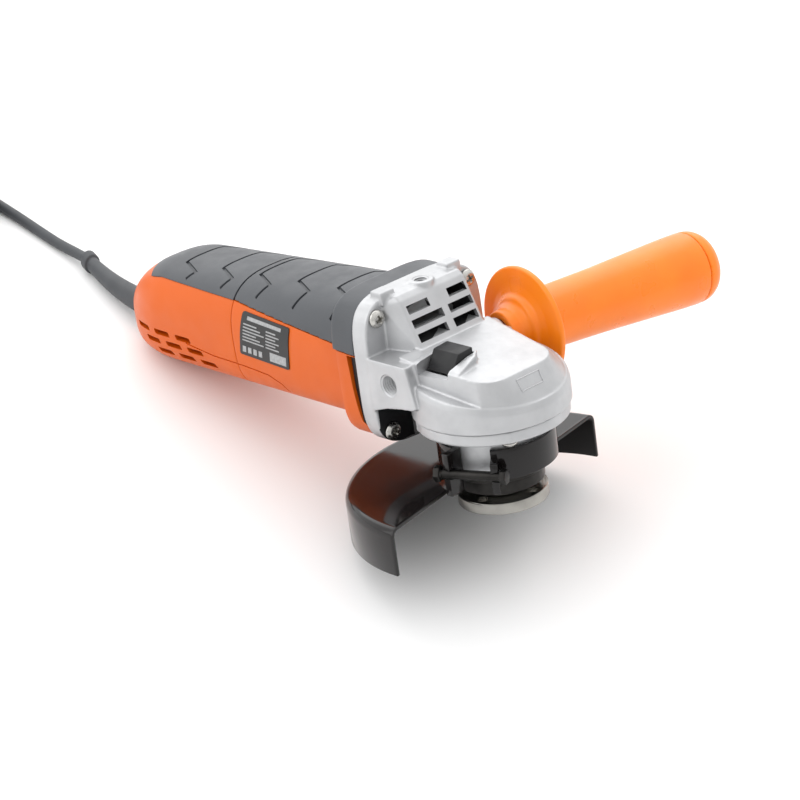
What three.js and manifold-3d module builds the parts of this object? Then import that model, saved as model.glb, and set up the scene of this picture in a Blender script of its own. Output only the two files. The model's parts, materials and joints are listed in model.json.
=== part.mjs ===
// A 125 mm angle grinder: orange motor body with rubber grips, cast gear head, guard, side handle
// and mains lead. Millimetres, +Z up, +X from the cord end to the head. The tool stands on the rim
// of its guard and the underside of its rear cover, as it is put down on a bench.
import * as THREE from "three";
import { ConvexGeometry } from "three/addons/geometries/ConvexGeometry.js";
import { mergeVertices } from "three/addons/utils/BufferGeometryUtils.js";
import Module from "manifold-3d";

// ---- driving dimensions ----------------------------------------------------------------------
// The tool's own frame: origin where the spindle's axis meets the motor's axis, +Z up the spindle.
const gap = 0.3; // clearance between neighbours
const simplifyTolerance = 0.06; // facets that differ by less are merged

// resting attitude: the guard's rim and the rear cover both touch the floor
const pitchDegrees = 15.4; // nose up
const rollDegrees = -2.6; // over towards the side handle

// gear head
const flangeBack = -45; // rear face of the head's flange
const flangeFront = -36;
const flangeHalfWidth = 34.2;
const flangeTop = 34.4;
const flangeBottom = -33.4;
const noseRadius = 34.2;
const seamHeight = -16; // parting face between head and bearing cover
const towerHalfWidth = 20.5; // the raised air duct behind the deck
const socketX = -24.7; // side handle sockets
const socketRadius = 4.5;
const nearFace = -34.4; // socket faces, measured from the motor's axis
const farFace = 31;
const farBossRadius = 9;
const screwY = 26.7; // the four long screws of the gear case
const screwZ = 25.7;
const screwHoleRadius = 2.4;
const ventRows = [0.2, 0.48, 0.76]; // shares of the way down the tower's slope
const ventColumns = [[-17.5, -2.5], [2, 16]];
const coverScrewAngles = [-32, 58, 148, 238]; // degrees round the spindle
const coverScrewCircle = 28.8;

// bevel gears: both cones meet at the origin
const crownTeeth = 33;
const pinionTeeth = 10;
const toothReference = 18.25; // mid-face distance from the origin, where sizes are given
const toothInner = 15;
const toothOuter = 21.5;
const addendum = 1.1;
const dedendum = 1.45;
const pitchSlope = pinionTeeth / crownTeeth;

// spindle lock
const lockPinX = -1;
const lockPinY = -12;
const lockPinRadius = 1.8;
const lockHoles = 4;

// spindle stack, all heights on the spindle's axis
const coverBottom = -21.5;
const neckRadius = 23.2;
const neckBottom = -40.6;
const retainerBottom = -43.8;
const retainerRadius = 20.5;
const seatHeight = -50; // face of the inner flange, where a disc seats
const seatInner = 11.6; // the seat is a ring, its middle is recessed
const flangeRadius = 18.8;
const hubRadius = 11; // the nut's hub, which goes into the disc's hole
const nutRadius = 19.7;
const nutTop = -53.6;
const nutBottom = -58.8;
const threadRadius = 6.7;

// guard
const guardRadius = 67.5;
const guardTop = -46.9;
const guardBottom = -68.4;
const guardSheet = 1.6;
const guardNearCorner = -87.3; // degrees from +X, where the plate's edges end
const guardFarCorner = 97.5;
const bandRadius = 25.7;
const bandMiddle = -67; // direction in which the clamp opens, degrees
const bandHalfGap = 17;
const clampBoltX = 28.8; // the bolt's distance from the spindle's axis, and its height
const clampBoltZ = -36;

// motor body
const bodyFront = flangeBack - gap;
const collarBack = -60;
const splitX = -134; // joint between motor housing and rear cover
const bodyRear = -229.5;
const capStart = 0.76; // share of the body's length where the rear cap begins
const shellInset = 5.2; // outer skin to hollow
const gripDepth = 2.4; // thickness of the rubber grips
const rearScrewX = -150;
const rearScrewPlaces = [-9, 9];
const labelPlace = { from: -126, to: -94, low: -7.5, high: 13 };

// motor
const statorRadius = 22;
const armatureRadius = 15;
const statorEnds = [-118, -72];

// switch: its slot is on the far side, and its rod runs back inside the wall
const switchX = -98;
const rodY = 22.3;
const rodZ = 13;

// side handle
const handleAxis = new THREE.Vector3(0.1, 1, -0.045).normalize();
const handleDiscDistance = 15; // socket face to the middle of the disc
const handleDiscRadius = 26.8;
const handleLength = 112;

// mains lead
const cordRadius = 2.6;
const reliefHeight = -13;
const reliefLength = 59;
const clampX = -210; // cord clamp
const clampScrewPlaces = [-6.5, 6.5];
const turnPitch = 5.36; // one turn of the coil to the next
const coilColumns = 3;
const coilLayers = 4;
const coilMiddleRadius = 26.5;
const coilCentre = [-286, -62.4];
const plugPins = { radius: 2.4, length: 19, spacing: 19 };
const plugHeight = 13.2;

// ---- materials -------------------------------------------------------------------------------
function finish(color, roughness, metalness) {
  return new THREE.MeshStandardMaterial({ color, roughness, metalness });
}
const orangePlastic = finish(0xf2702a, 0.45, 0);
const handlePlastic = finish(0xff8420, 0.4, 0);
const blackPlastic = finish(0x1b1b1d, 0.5, 0);
const gripRubber = finish(0x55585d, 0.8, 0);
const cordRubber = finish(0x3a3d42, 0.7, 0);
const castAluminium = finish(0xc9cbcd, 0.45, 0.9);
const steel = finish(0xb8b9ba, 0.3, 1);
const darkSteel = finish(0x2c2b2b, 0.4, 0.9);
const blackPaint = finish(0x141214, 0.25, 0.3);
const copper = finish(0xb4693a, 0.4, 1);
const carbon = finish(0x2a2a2a, 0.9, 0);
const labelFilm = finish(0x26272a, 0.5, 0);
const brass = finish(0xc9a44c, 0.35, 1);

// ---- solids ----------------------------------------------------------------------------------
const wasm = await Module();
wasm.setup();

function solid(geometry) {
  const bare = geometry.clone();
  bare.deleteAttribute("normal");
  bare.deleteAttribute("uv");
  const merged = mergeVertices(bare, 1e-4);
  return new wasm.Manifold(
    new wasm.Mesh({
      numProp: 3,
      vertProperties: new Float32Array(merged.attributes.position.array),
      triVerts: new Uint32Array(merged.index.array),
    }),
  );
}

function join(...pieces) {
  return pieces.reduce((whole, piece) => whole.add(piece));
}

function cut(base, ...tools) {
  return tools.reduce((rest, tool) => rest.subtract(tool), base);
}

function geometryOf(made) {
  const mesh = made.simplify(simplifyTolerance).getMesh();
  const geometry = new THREE.BufferGeometry();
  geometry.setAttribute("position", new THREE.BufferAttribute(mesh.vertProperties, 3));
  geometry.setIndex(new THREE.BufferAttribute(mesh.triVerts, 1));
  return geometry;
}

// A closed profile of [radius, height] pairs, turned about the Z axis.
function turned(profile, sides = 24) {
  const points = profile.map(([radius, height]) => new THREE.Vector2(radius, height));
  if (THREE.ShapeUtils.area(points) > 0) {
    points.reverse();
  }
  const startsOnAxis = points.findIndex((point) => point.x === 0);
  if (startsOnAxis >= 0) {
    while (points[0].x !== 0 || points[points.length - 1].x !== 0) {
      points.push(points.shift());
    }
  } else {
    points.push(points[0].clone());
  }
  points.reverse();
  return solid(new THREE.LatheGeometry(points, sides).rotateX(Math.PI / 2));
}

// The same, turned about the motor's axis: heights become places along X.
function turnedOnX(profile, sides = 24) {
  return turned(profile, sides).rotate([0, 90, 0]);
}

function ring(outer, inner, low, high, sides = 24) {
  return turned([[inner, low], [outer, low], [outer, high], [inner, high]], sides);
}

function ringOnX(outer, inner, low, high, sides = 24) {
  return ring(outer, inner, low, high, sides).rotate([0, 90, 0]);
}

function block(x, y, z) {
  const box = new THREE.BoxGeometry(x[1] - x[0], y[1] - y[0], z[1] - z[0]);
  return solid(box.translate((x[0] + x[1]) / 2, (y[0] + y[1]) / 2, (z[0] + z[1]) / 2));
}

// A round bar between two points.
function bar(radius, from, to, sides = 14) {
  const start = new THREE.Vector3(...from);
  const span = new THREE.Vector3(...to).sub(start);
  const cylinder = new THREE.CylinderGeometry(radius, radius, span.length(), sides);
  const turn = new THREE.Quaternion().setFromUnitVectors(
    new THREE.Vector3(0, 1, 0),
    span.clone().normalize(),
  );
  const middle = start.addScaledVector(span, 0.5);
  return solid(cylinder.applyQuaternion(turn).translate(middle.x, middle.y, middle.z));
}

// A flat outline of [x, y] pairs, raised from one height to another.
function prism(outline, low, high) {
  const shape = new THREE.Shape(outline.map(([x, y]) => new THREE.Vector2(x, y)));
  const extruded = new THREE.ExtrudeGeometry(shape, { depth: high - low, bevelEnabled: false });
  return solid(extruded.translate(0, 0, low));
}

// An outline of [x, z] pairs, carried across from one y to the other.
function sidePrism(outline, from, to) {
  return prism(outline, -to, -from).rotate([90, 0, 0]);
}

function spread(from, to, steps) {
  return Array.from({ length: steps + 1 }, (_, i) => from + ((to - from) * i) / steps);
}

function polar(radius, degrees) {
  const angle = THREE.MathUtils.degToRad(degrees);
  return [radius * Math.cos(angle), radius * Math.sin(angle)];
}

function arc(radius, fromDegrees, toDegrees, steps) {
  return spread(fromDegrees, toDegrees, steps).map((degrees) => polar(radius, degrees));
}

// A sector of a ring about the Z axis.
function ringSector(outer, inner, low, high, fromDegrees, toDegrees, steps = 16) {
  const outline = arc(outer, fromDegrees, toDegrees, steps);
  outline.push(...arc(inner, toDegrees, fromDegrees, steps));
  return prism(outline, low, high);
}

// A body along X with a rounded-square section at each station. sectionAt gives the section's
// half width, top, bottom, sideways shift and power (2 is an ellipse, higher is squarer).
function loft(stations, sectionAt, sides = 32) {
  const tube = new THREE.CylinderGeometry(1, 1, 1, sides, stations.length - 1);
  const position = tube.attributes.position;
  for (let i = 0; i < position.count; i += 1) {
    const station = Math.round((position.getY(i) + 0.5) * (stations.length - 1));
    const x = stations[station];
    const section = sectionAt(x);
    const across = position.getZ(i);
    const up = position.getX(i);
    const middle = (section.top + section.bottom) / 2;
    const halfHeight = (section.top - section.bottom) / 2;
    const bulge = (value) => Math.sign(value) * Math.abs(value) ** (2 / section.power);
    position.setXYZ(
      i,
      x,
      (section.shift ?? 0) + section.halfWidth * bulge(across),
      middle + halfHeight * bulge(up),
    );
  }
  return solid(tube);
}

// ---- gear head -------------------------------------------------------------------------------
const corners = [
  [-screwY, screwZ],
  [screwY, screwZ],
  [-screwY, -screwZ],
  [screwY, -screwZ],
];

function flangeSection() {
  return { halfWidth: flangeHalfWidth, top: flangeTop, bottom: flangeBottom, power: 4.6 };
}

// A point on the handle's axis, measured outwards from the face of its socket.
function onHandleAxis(distance) {
  const face = new THREE.Vector3(socketX, farFace, 0);
  return face.addScaledVector(handleAxis, distance).toArray();
}

// Round wall, then a broad chamfer up to the sloping, nearly rectangular deck.
function noseBlock() {
  const deckFront = 23.5;
  const corner = 9;
  const deckHeight = (x) => 9.4 - 0.12 * x;
  const deckCorners = [[deckFront - corner, -22 + corner], [deckFront - corner, 17 - corner]];
  const deckOutline = deckCorners.flatMap(([x, y], i) => (
    arc(corner, i === 0 ? -90 : 0, i === 0 ? 0 : 90, 5).map(([dx, dy]) => [x + dx, y + dy])
  ));
  deckOutline.push([-22, 19.5], [-22, -26], [4, -25.5]);
  const points = deckOutline.map(([x, y]) => new THREE.Vector3(x, y, deckHeight(x)));
  for (const [radius, height] of [[noseRadius, seamHeight + 0.1], [33.4, -3.7]]) {
    points.push(...arc(radius, 0, 350, 35).map(([x, y]) => new THREE.Vector3(x, y, height)));
  }
  return solid(new ConvexGeometry(points));
}

// Six slots in two columns down the sloping face of the tower.
function headVents() {
  const faceTop = new THREE.Vector2(-29, 31.3);
  const faceBottom = new THREE.Vector2(-18.8, 10.8);
  const slots = [];
  for (const row of ventRows) {
    const centre = faceTop.clone().lerp(faceBottom, row);
    for (const [from, to] of ventColumns) {
      const slot = block([centre.x - 5, centre.x + 4], [from, to], [centre.y - 1.7, centre.y + 1.7]);
      slots.push(slot);
    }
  }
  return slots;
}

function gearHousing() {
  const flange = loft([flangeBack, flangeFront], flangeSection, 36);
  const waist = block([-38, -8], [-28, 24], [-11, 9.4]);
  const lowerWaist = block([-38, 0], [-20, 20], [seamHeight + 0.1, -11]);
  const tower = sidePrism(
    [[-40, 0], [-18.8, 0], [-18.8, 10.8], [-29, 31.3], [-31.5, 33.4], [-40, 34.2]],
    -towerHalfWidth,
    towerHalfWidth,
  );
  const nearPad = block([-36.5, -9], [nearFace, -26], [-11, 10]);
  const farBoss = bar(farBossRadius, onHandleAxis(-12), onHandleAxis(0), 24);
  const lugs = [-19.5, 19.5].map((y) => block([-41.5, -34.5], [y - 4, y + 4], [30, 36]));
  const bezel = block([-12, 10], [-25.5, -6.5], [5, 12.4]);
  const topBoss = turned([[0, 32], [6, 32], [6, 35.2], [0, 35.2]], 24).translate([-35, 0, 0]);
  const body = join(
    noseBlock(), flange, waist, lowerWaist, tower, nearPad, farBoss, ...lugs, bezel, topBoss,
  );

  const gearSpace = ring(24, 7.3, -17, -1.5);
  const bushBore = turned([[0, -17], [7.4, -17], [7.4, 6.1], [0, 6.1]]);
  const pinionBore = turnedOnX([[0, -40], [8.4, -40], [8.4, -12.8], [0, -12.8]], 24);
  const bearingBore = turnedOnX([[0, -46], [13.3, -46], [13.3, -28.4], [0, -28.4]]);
  const platePocket = turnedOnX([[0, -46], [24.9, -46], [24.9, -37], [0, -37]]);
  const duct = sidePrism([[-46, 14.6], [-24.2, 14.6], [-31.4, 29], [-46, 29]], -17.5, 17.5);
  const buttonPocket = block([-9.1, 7.1], [-22.8, -8.9], [2, 20]);
  const pinHole = bar(lockPinRadius + 0.35, [lockPinX, lockPinY, -3], [lockPinX, lockPinY, 4]);
  const nearSocket = bar(socketRadius, [socketX, nearFace - 1, 0], [socketX, -24.6, 0], 20);
  const farSocket = bar(socketRadius, onHandleAxis(-9), onHandleAxis(3), 20);
  const topSocket = bar(3, [-35, 0, 31], [-35, 0, 36]);
  const screwHoles = corners.map(([y, z]) => bar(screwHoleRadius, [-46, y, z], [-35, y, z], 10));
  const coverHoles = coverScrewHoles(-17, -7);
  const hollow = cut(body, gearSpace, bushBore, pinionBore, bearingBore, platePocket, duct);
  const drilled = cut(hollow, buttonPocket, pinHole, nearSocket, farSocket, topSocket);
  return cut(drilled, ...screwHoles, ...coverHoles, ...headVents());
}

function coverScrewHoles(low, high) {
  return coverScrewAngles.map((angle) => {
    const [x, y] = polar(coverScrewCircle, angle);
    return bar(2.3, [x, y, low], [x, y, high], 10);
  });
}

function bearingCover() {
  const body = turned([
    [16.1, seamHeight - 0.2],
    [33, seamHeight - 0.2],
    [33, coverBottom],
    [neckRadius, coverBottom],
    [neckRadius, neckBottom],
    [10, neckBottom],
    [10, -36],
    [16.1, -36],
  ], 32);
  return cut(body, ...coverScrewHoles(-23, -15));
}

// A screw along +X: head at the front, shank behind it, tip at -length.
function panScrew(headRadius, headHeight, shankRadius, length) {
  return turned([
    [0, -length],
    [shankRadius, -length],
    [shankRadius, 0],
    [headRadius, 0],
    [headRadius * 0.8, headHeight],
    [0, headHeight],
  ], 8);
}

function bearingRetainer() {
  return ring(retainerRadius, 10, retainerBottom, neckBottom - gap);
}

function bearingPlate() {
  const disc = ringOnX(24.6, 8, flangeBack + gap, -37.3);
  const window = block([-46, -36], [-10, 10], [14.5, 20.5]);
  return cut(disc, window);
}

// A bearing as one ring: both races with flush shields between them.
function ballBearing(outer, inner, width) {
  return ring(outer, inner, -width / 2, width / 2, 24);
}

// ---- gears -----------------------------------------------------------------------------------
// One tooth that tapers towards the origin, pointing along +X from near to far. Widths and
// levels (measured along Z) are those at the reference distance.
function bevelTooth(low, high, lowWidth, highWidth) {
  const box = new THREE.BoxGeometry(1, 1, 1);
  const position = box.attributes.position;
  for (let i = 0; i < position.count; i += 1) {
    const distance = position.getX(i) < 0 ? toothInner : toothOuter;
    const isHigh = position.getZ(i) > 0;
    const scale = distance / toothReference;
    const halfWidth = (isHigh ? highWidth : lowWidth) / 2;
    position.setXYZ(
      i,
      distance,
      Math.sign(position.getY(i)) * halfWidth * scale,
      (isHigh ? high : low) * scale,
    );
  }
  return solid(box);
}

const pinionPitch = toothReference * pitchSlope;

function crownGear() {
  const rootSlope = (pinionPitch + dedendum) / toothReference;
  const disc = turned([
    [6, -8.6],
    [9.3, -8.6],
    [9.3, -9.6],
    [14.6, -9.6],
    [14.8, -14.8 * rootSlope],
    [21.7, -21.7 * rootSlope],
    [22, -15.3],
    [6, -15.3],
  ], 33);
  const tooth = bevelTooth(-pinionPitch - dedendum - 0.6, -pinionPitch + addendum, 2.2, 0.72);
  const teeth = Array.from({ length: crownTeeth }, (_, i) => (
    tooth.rotate([0, 0, 180 + ((i + 0.5) * 360) / crownTeeth])
  ));
  const hole = bar(lockPinRadius + 0.5, [lockPinX, lockPinY, -16], [lockPinX, lockPinY, -8], 8);
  const holes = Array.from({ length: lockHoles }, (_, i) => (
    hole.rotate([0, 0, (i * 360) / lockHoles])
  ));
  return cut(join(disc, ...teeth), ...holes);
}

function pinion() {
  const rootSlope = (pinionPitch - dedendum) / toothReference;
  const cone = turned([
    [0, -27],
    [6.2, -27],
    [6.2, -toothOuter],
    [toothOuter * rootSlope, -toothOuter],
    [toothInner * rootSlope, -toothInner],
    [0, -toothInner],
  ], 30).rotate([0, 90, 0]);
  const tooth = bevelTooth(pinionPitch - dedendum - 0.5, pinionPitch + addendum, 2.05, 0.66);
  const teeth = Array.from({ length: pinionTeeth }, (_, i) => (
    tooth.rotate([0, 0, 180]).rotate([180 + (i * 360) / pinionTeeth, 0, 0])
  ));
  const bore = bar(3.2, [-28, 0, 0], [-20.2, 0, 0], 16);
  return cut(join(cone, ...teeth), bore);
}

// ---- spindle and flanges ---------------------------------------------------------------------
function spindle() {
  return turned([
    [0, 5],
    [4.6, 5],
    [4.6, -4],
    [5.7, -4],
    [5.7, -36.2],
    [8.5, -36.2],
    [8.5, retainerBottom],
    [threadRadius, retainerBottom],
    [threadRadius, nutBottom - 0.8],
    [0, nutBottom - 0.8],
  ], 24);
}

function innerFlange() {
  return turned([
    [threadRadius + gap, seatHeight + 0.2],
    [seatInner, seatHeight + 0.2],
    [seatInner, seatHeight],
    [flangeRadius, seatHeight],
    [flangeRadius, retainerBottom - gap],
    [threadRadius + gap, retainerBottom - gap],
  ]);
}

function flangeNut() {
  const body = turned([
    [threadRadius + gap, seatHeight - gap],
    [hubRadius, seatHeight - gap],
    [hubRadius, nutTop],
    [nutRadius, nutTop],
    [nutRadius, nutBottom],
    [threadRadius + gap, nutBottom],
  ], 32);
  const holes = [-78, 12, 102, 192].map((angle) => {
    const [x, y] = polar(15.2, angle);
    return bar(2.5, [x, y, nutBottom - 1], [x, y, nutTop + 1], 8);
  });
  return cut(body, ...holes);
}

// ---- guard -----------------------------------------------------------------------------------
// The sheet's edges run from the corners of its rim in to the collar, which is welded under the
// clamp band.
function guard() {
  const backAngle = guardNearCorner + 360;
  const outline = arc(guardRadius, guardFarCorner, backAngle, 32);
  outline.push(...arc(neckRadius + gap, backAngle - 20, guardFarCorner - 8, 20));
  const plate = prism(outline, guardTop - guardSheet, guardTop);
  const skirt = ringSector(
    guardRadius, guardRadius - guardSheet, guardBottom, guardTop, guardFarCorner, backAngle, 32,
  );
  const collar = ringSector(
    neckRadius + 1.9, neckRadius + gap, guardTop - guardSheet, -40.7,
    guardFarCorner - 8, backAngle - 20, 20,
  );
  return join(plate, skirt, collar);
}

function clampBand() {
  const band = ringSector(
    bandRadius, neckRadius + gap, -40.4, -26.5,
    bandMiddle + bandHalfGap, bandMiddle - bandHalfGap + 360, 32,
  );
  const ears = [-1, 1].map((side) => {
    const ear = block([neckRadius + 1, 32], [-1.6, 1.6], side < 0 ? [-46, -26.5] : [-44, -30]);
    return ear.rotate([0, 0, bandMiddle + side * (bandHalfGap + 3)]);
  });
  return cut(join(band, ...ears), onClampBolt(2.5, -17, 17));
}

// A piece of the clamp's bolt, which runs across the opening, outside the neck.
function onClampBolt(radius, from, to, sides = 12) {
  return bar(radius, [clampBoltX, from, clampBoltZ], [clampBoltX, to, clampBoltZ], sides)
    .rotate([0, 0, bandMiddle]);
}

function clampScrew() {
  return join(onClampBolt(2.1, -13.6, 13.6), onClampBolt(3.8, 13.2, 16.8, 6));
}

function clampNut() {
  return cut(onClampBolt(4.2, -17, -13.9, 6), onClampBolt(2.4, -30, 30));
}

// ---- motor body ------------------------------------------------------------------------------
// Outer skin behind the collar: it narrows and droops to the rear and ends in a round cap.
function bodySection(inset = 0) {
  return (x) => {
    const along = THREE.MathUtils.clamp((collarBack - x) / (collarBack - bodyRear), 0, 1);
    const intoCap = Math.max(0, (along - capStart) / (1 - capStart));
    const round = Math.sqrt(1 - (0.95 * intoCap) ** 2);
    const middle = 0.4 - 4.8 * along - 9.6 * intoCap ** 2;
    const halfHeight = (28.7 - 4.6 * along) * round;
    return {
      halfWidth: (30.5 - 4 * along) * round - inset,
      top: middle + halfHeight - inset,
      bottom: middle - halfHeight + inset,
      power: 3.4,
    };
  };
}
function collarSection(inset = 0) {
  return () => ({ halfWidth: 33.6 - inset, top: 33.8 - inset, bottom: -32.8 + inset, power: 4.6 });
}

// Stations for the skin: few along the straight body, closer round the cap.
function bodyStations(from, to) {
  const capX = collarBack + (bodyRear - collarBack) * capStart;
  const straight = spread(Math.max(from, capX), to, 4);
  if (from >= capX) {
    return straight;
  }
  const cap = [0.98, 0.9, 0.75, 0.5, 0.25].map((share) => capX + (bodyRear - capX) * share);
  return [from, ...cap.filter((x) => x > from + 0.5), ...straight];
}

function bodySkin(inset, from, to, sides = 32) {
  return loft(bodyStations(from, to), bodySection(inset), sides);
}

// The region above the line between rubber and plastic, seen from the side.
function gripRegion(lowering, from, to) {
  const line = [
    [-30, 8], [-62, 10.5], [-134, 17], [-190, 18.5], [-200, 16.5], [-207, 15.5], [-212, 17],
    [-214, 60], [-30, 60],
  ];
  const region = sidePrism(line.map(([x, z]) => [x, z - lowering]), -60, 60);
  return region.intersect(block([from, to], [-80, 80], [-80, 80]));
}

// What lies under the front grip: the barrel, then the thicker collar.
function gripCore(inset, step) {
  return join(
    bodySkin(inset, splitX - 4, collarBack + 4),
    loft([step, bodyFront + 2], collarSection(inset)),
  );
}

function housingScrewHoles() {
  return corners.map(([y, z]) => bar(screwHoleRadius, [-58, y, z], [-44, y, z], 10));
}

function motorHousing() {
  const skin = join(
    bodySkin(0, splitX, collarBack + 1),
    loft([collarBack, bodyFront], collarSection()),
  );
  const hollow = bodySkin(shellInset, splitX - 2, collarBack - 4, 24);
  const fanSpace = turnedOnX([[0, -70], [25.5, -70], [27.5, -44], [0, -44]]);
  const recess = cut(
    gripRegion(gap, splitX - 1, bodyFront + 1),
    gripCore(gripDepth, collarBack + 2 + gap),
  );
  const statorBore = bar(statorRadius + gap, [-120, 0, 0], [-64, 0, 0], 24);
  const shell = cut(skin, recess, hollow, fanSpace, statorBore);

  const endWall = loft([splitX, splitX + 3], bodySection(shellInset - 0.5), 24);
  const cup = turnedOnX([
    [15.6, splitX], [17.8, splitX], [17.8, -161], [0, -161], [0, -158], [11.3, -158],
    [11.3, -148.5], [15.6, -148.5],
  ]);
  const wallBore = bar(15.6, [splitX - 1, 0, 0], [splitX + 4, 0, 0], 24);
  const airWindows = [-1, 1].map((side) => block(
    [splitX - 1, splitX + 4], [-11, 11], side < 0 ? [-22, -18.5] : [18.5, 20],
  ));
  const brushWindows = [-1, 1].map((side) => block(
    [-147.2, -135.8], side < 0 ? [-30, -10] : [10, 30], [-4.6, 4.6],
  ));
  const rearLugs = rearScrewPlaces.map((y) => (
    block([rearScrewX - 4, rearScrewX + 4], [y - 3.5, y + 3.5], [-22, -14])
  ));
  const lugHoles = rearScrewPlaces.map((y) => (
    bar(1.7, [rearScrewX, y, -23], [rearScrewX, y, -12], 12)
  ));
  const whole = join(shell, cut(endWall, wallBore, ...airWindows), cup, ...rearLugs);
  const opened = cut(whole, ...brushWindows, ...housingScrewHoles(), ...lugHoles, switchSlot());
  return cut(opened, rodChannel());
}

function switchSlot() {
  return block([switchX - 9, switchX + 9], [17, 50], [10.8, 15.4]);
}

function rodChannel() {
  return block([-173, switchX], [rodY - 1.4, rodY + 1.4], [rodZ - 1.6, rodZ + 1.6]);
}

function rearCover() {
  const skin = bodySkin(0, bodyRear, splitX - gap);
  const hollow = bodySkin(shellInset, bodyRear + 10, splitX + 1, 24);
  const recess = cut(
    gripRegion(gap, bodyRear - 1, splitX + 1),
    bodySkin(gripDepth, bodyRear, splitX + 1),
  );
  const cordHole = bar(6.9, [bodyRear - 2, 0, reliefHeight], [bodyRear + 16, 0, reliefHeight], 20);
  const vents = [];
  for (const side of [-1, 1]) {
    for (const row of [0, 1, 2]) {
      for (const column of [0, 1, 2]) {
        const x = -205 + 7.5 * row + 16 * column;
        const z = -9.5 - 4.9 * row;
        vents.push(block([x - 6, x + 6], side < 0 ? [-40, -10] : [10, 40], [z - 1.1, z + 1.1]));
      }
    }
  }
  const screwHoles = rearScrewPlaces.map((y) => join(
    bar(1.9, [rearScrewX, y, -40], [rearScrewX, y, -20], 10),
    bar(3.7, [rearScrewX, y, -40], [rearScrewX, y, -24.2], 12),
  ));
  const posts = clampScrewPlaces.map((y) => bar(3, [clampX, y, -26], [clampX, y, -11.5], 12));
  const shell = join(cut(skin, hollow, recess), ...posts);
  return cut(shell, cordHole, ...vents, ...screwHoles, ...clampScrewHoles(), rodChannel());
}

function gripFront() {
  const region = gripRegion(0, splitX, bodyFront + 1);
  const skin = join(
    bodySkin(0, splitX - 2, collarBack + 1),
    loft([collarBack, bodyFront], collarSection()),
  );
  const core = gripCore(gripDepth - gap, collarBack + 2);
  return cut(skin.intersect(region), core, switchSlot(), ...housingScrewHoles());
}

function gripRear() {
  const region = gripRegion(0, bodyRear, splitX - gap);
  return cut(
    bodySkin(0, bodyRear, splitX + 2).intersect(region),
    bodySkin(gripDepth - gap, bodyRear, splitX + 3),
  );
}

function ratingLabel() {
  const area = block([labelPlace.from, labelPlace.to], [-60, 0], [labelPlace.low, labelPlace.high]);
  return cut(bodySkin(-0.5, splitX, collarBack), bodySkin(-0.15, splitX, collarBack)).intersect(area);
}

// ---- motor -----------------------------------------------------------------------------------
function stator() {
  const yoke = ringOnX(statorRadius, 19.9, ...statorEnds);
  const poles = [0, 180].map((angle) => (
    ringSector(20.3, 15.7, ...statorEnds, angle - 52, angle + 52, 10).rotate([0, 90, 0])
  ));
  return join(yoke, ...poles);
}

function fieldCoil(angle) {
  return ringSector(19.4, 16, -124, -66, angle - 32, angle + 32, 8).rotate([0, 90, 0]);
}

function armatureCore() {
  const core = ringOnX(armatureRadius, 5.2, -117, -73);
  const slots = Array.from({ length: 12 }, (_, i) => (
    block([-118, -72], [-0.8, 0.8], [armatureRadius - 3, armatureRadius + 1]).rotate([i * 30, 0, 0])
  ));
  return cut(core, ...slots);
}

function armatureShaft() {
  return turnedOnX([
    [0, -20.5], [2.9, -20.5], [2.9, -27.3], [4.9, -27.3], [4.9, -149.4], [3.7, -149.4],
    [3.7, -157.6], [0, -157.6],
  ], 24);
}

function commutator() {
  return ringOnX(9.6, 5.2, -147.5, -132, 24);
}

function coolingFan() {
  const hub = ringOnX(8, 5.2, -60, -50.5, 24);
  const disc = ringOnX(24, 7.5, -52, -50.5, 27);
  const blades = Array.from({ length: 9 }, (_, i) => (
    block([-60, -51.5], [-0.8, 0.8], [7, 23.6]).rotate([i * 40, 0, 0])
  ));
  return join(hub, disc, ...blades);
}

function brushHolder(side) {
  const outer = block([-146.8, -136.2], side < 0 ? [-22, -10.6] : [10.6, 22], [-4.2, 4.2]);
  const inner = block([-145.2, -137.8], [-30, 30], [-2.8, 2.8]);
  return cut(outer, inner);
}

function carbonBrush(side) {
  return block([-144.8, -138.2], side < 0 ? [-19, -10] : [10, 19], [-2.4, 2.4]);
}

// ---- switch and lead entry -------------------------------------------------------------------
function switchSlider() {
  const plate = block([switchX - 11, switchX + 11], [30.6, 33.2], [4.5, 15.5]);
  const ribs = [-6, 0, 6].map((x) => (
    block([switchX + x - 1, switchX + x + 1], [33, 34.2], [6, 14])
  ));
  const leg = block([switchX - 8, switchX + 1.5], [rodY + 1.3, 31], [11.2, 15]);
  return join(plate, leg, ...ribs);
}

function switchRod() {
  return block([-166, switchX - 2], [rodY - 1, rodY + 1], [rodZ - 1.2, rodZ + 1.2]);
}

function switchBody() {
  return block([-206, -176], [-8, 15], [-10, 8]);
}

function capacitor() {
  return block([-204, -186], [-16, -8.6], [-10, 6]);
}

function clampScrewHoles() {
  return clampScrewPlaces.map((y) => bar(1.6, [clampX, y, -18.5], [clampX, y, 0], 10));
}

function cordClamp() {
  const strap = block([clampX - 3.5, clampX + 3.5], [-10.5, 10.5], [-11.2, -8.4]);
  return cut(strap, ...clampScrewHoles());
}

function cordClampScrew(y) {
  return panScrew(2.8, 1.8, 1.3, 9).translate([clampX, y, -8.1]);
}

// Tapered boot with a collar at its end. It curves up and aside so that the lead lies flat.
function reliefSection(x) {
  const out = Math.max(0, bodyRear - x);
  const share = out / reliefLength;
  const taper = THREE.MathUtils.lerp(6.4, 3.7, Math.min(1, share * 1.1));
  const collar = share > 0.9 ? 4.8 : taper;
  const middle = reliefHeight + 10.9 * share ** 1.5;
  return {
    halfWidth: collar, top: middle + collar, bottom: middle - collar, power: 2,
    shift: 8 * share ** 2,
  };
}

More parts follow.
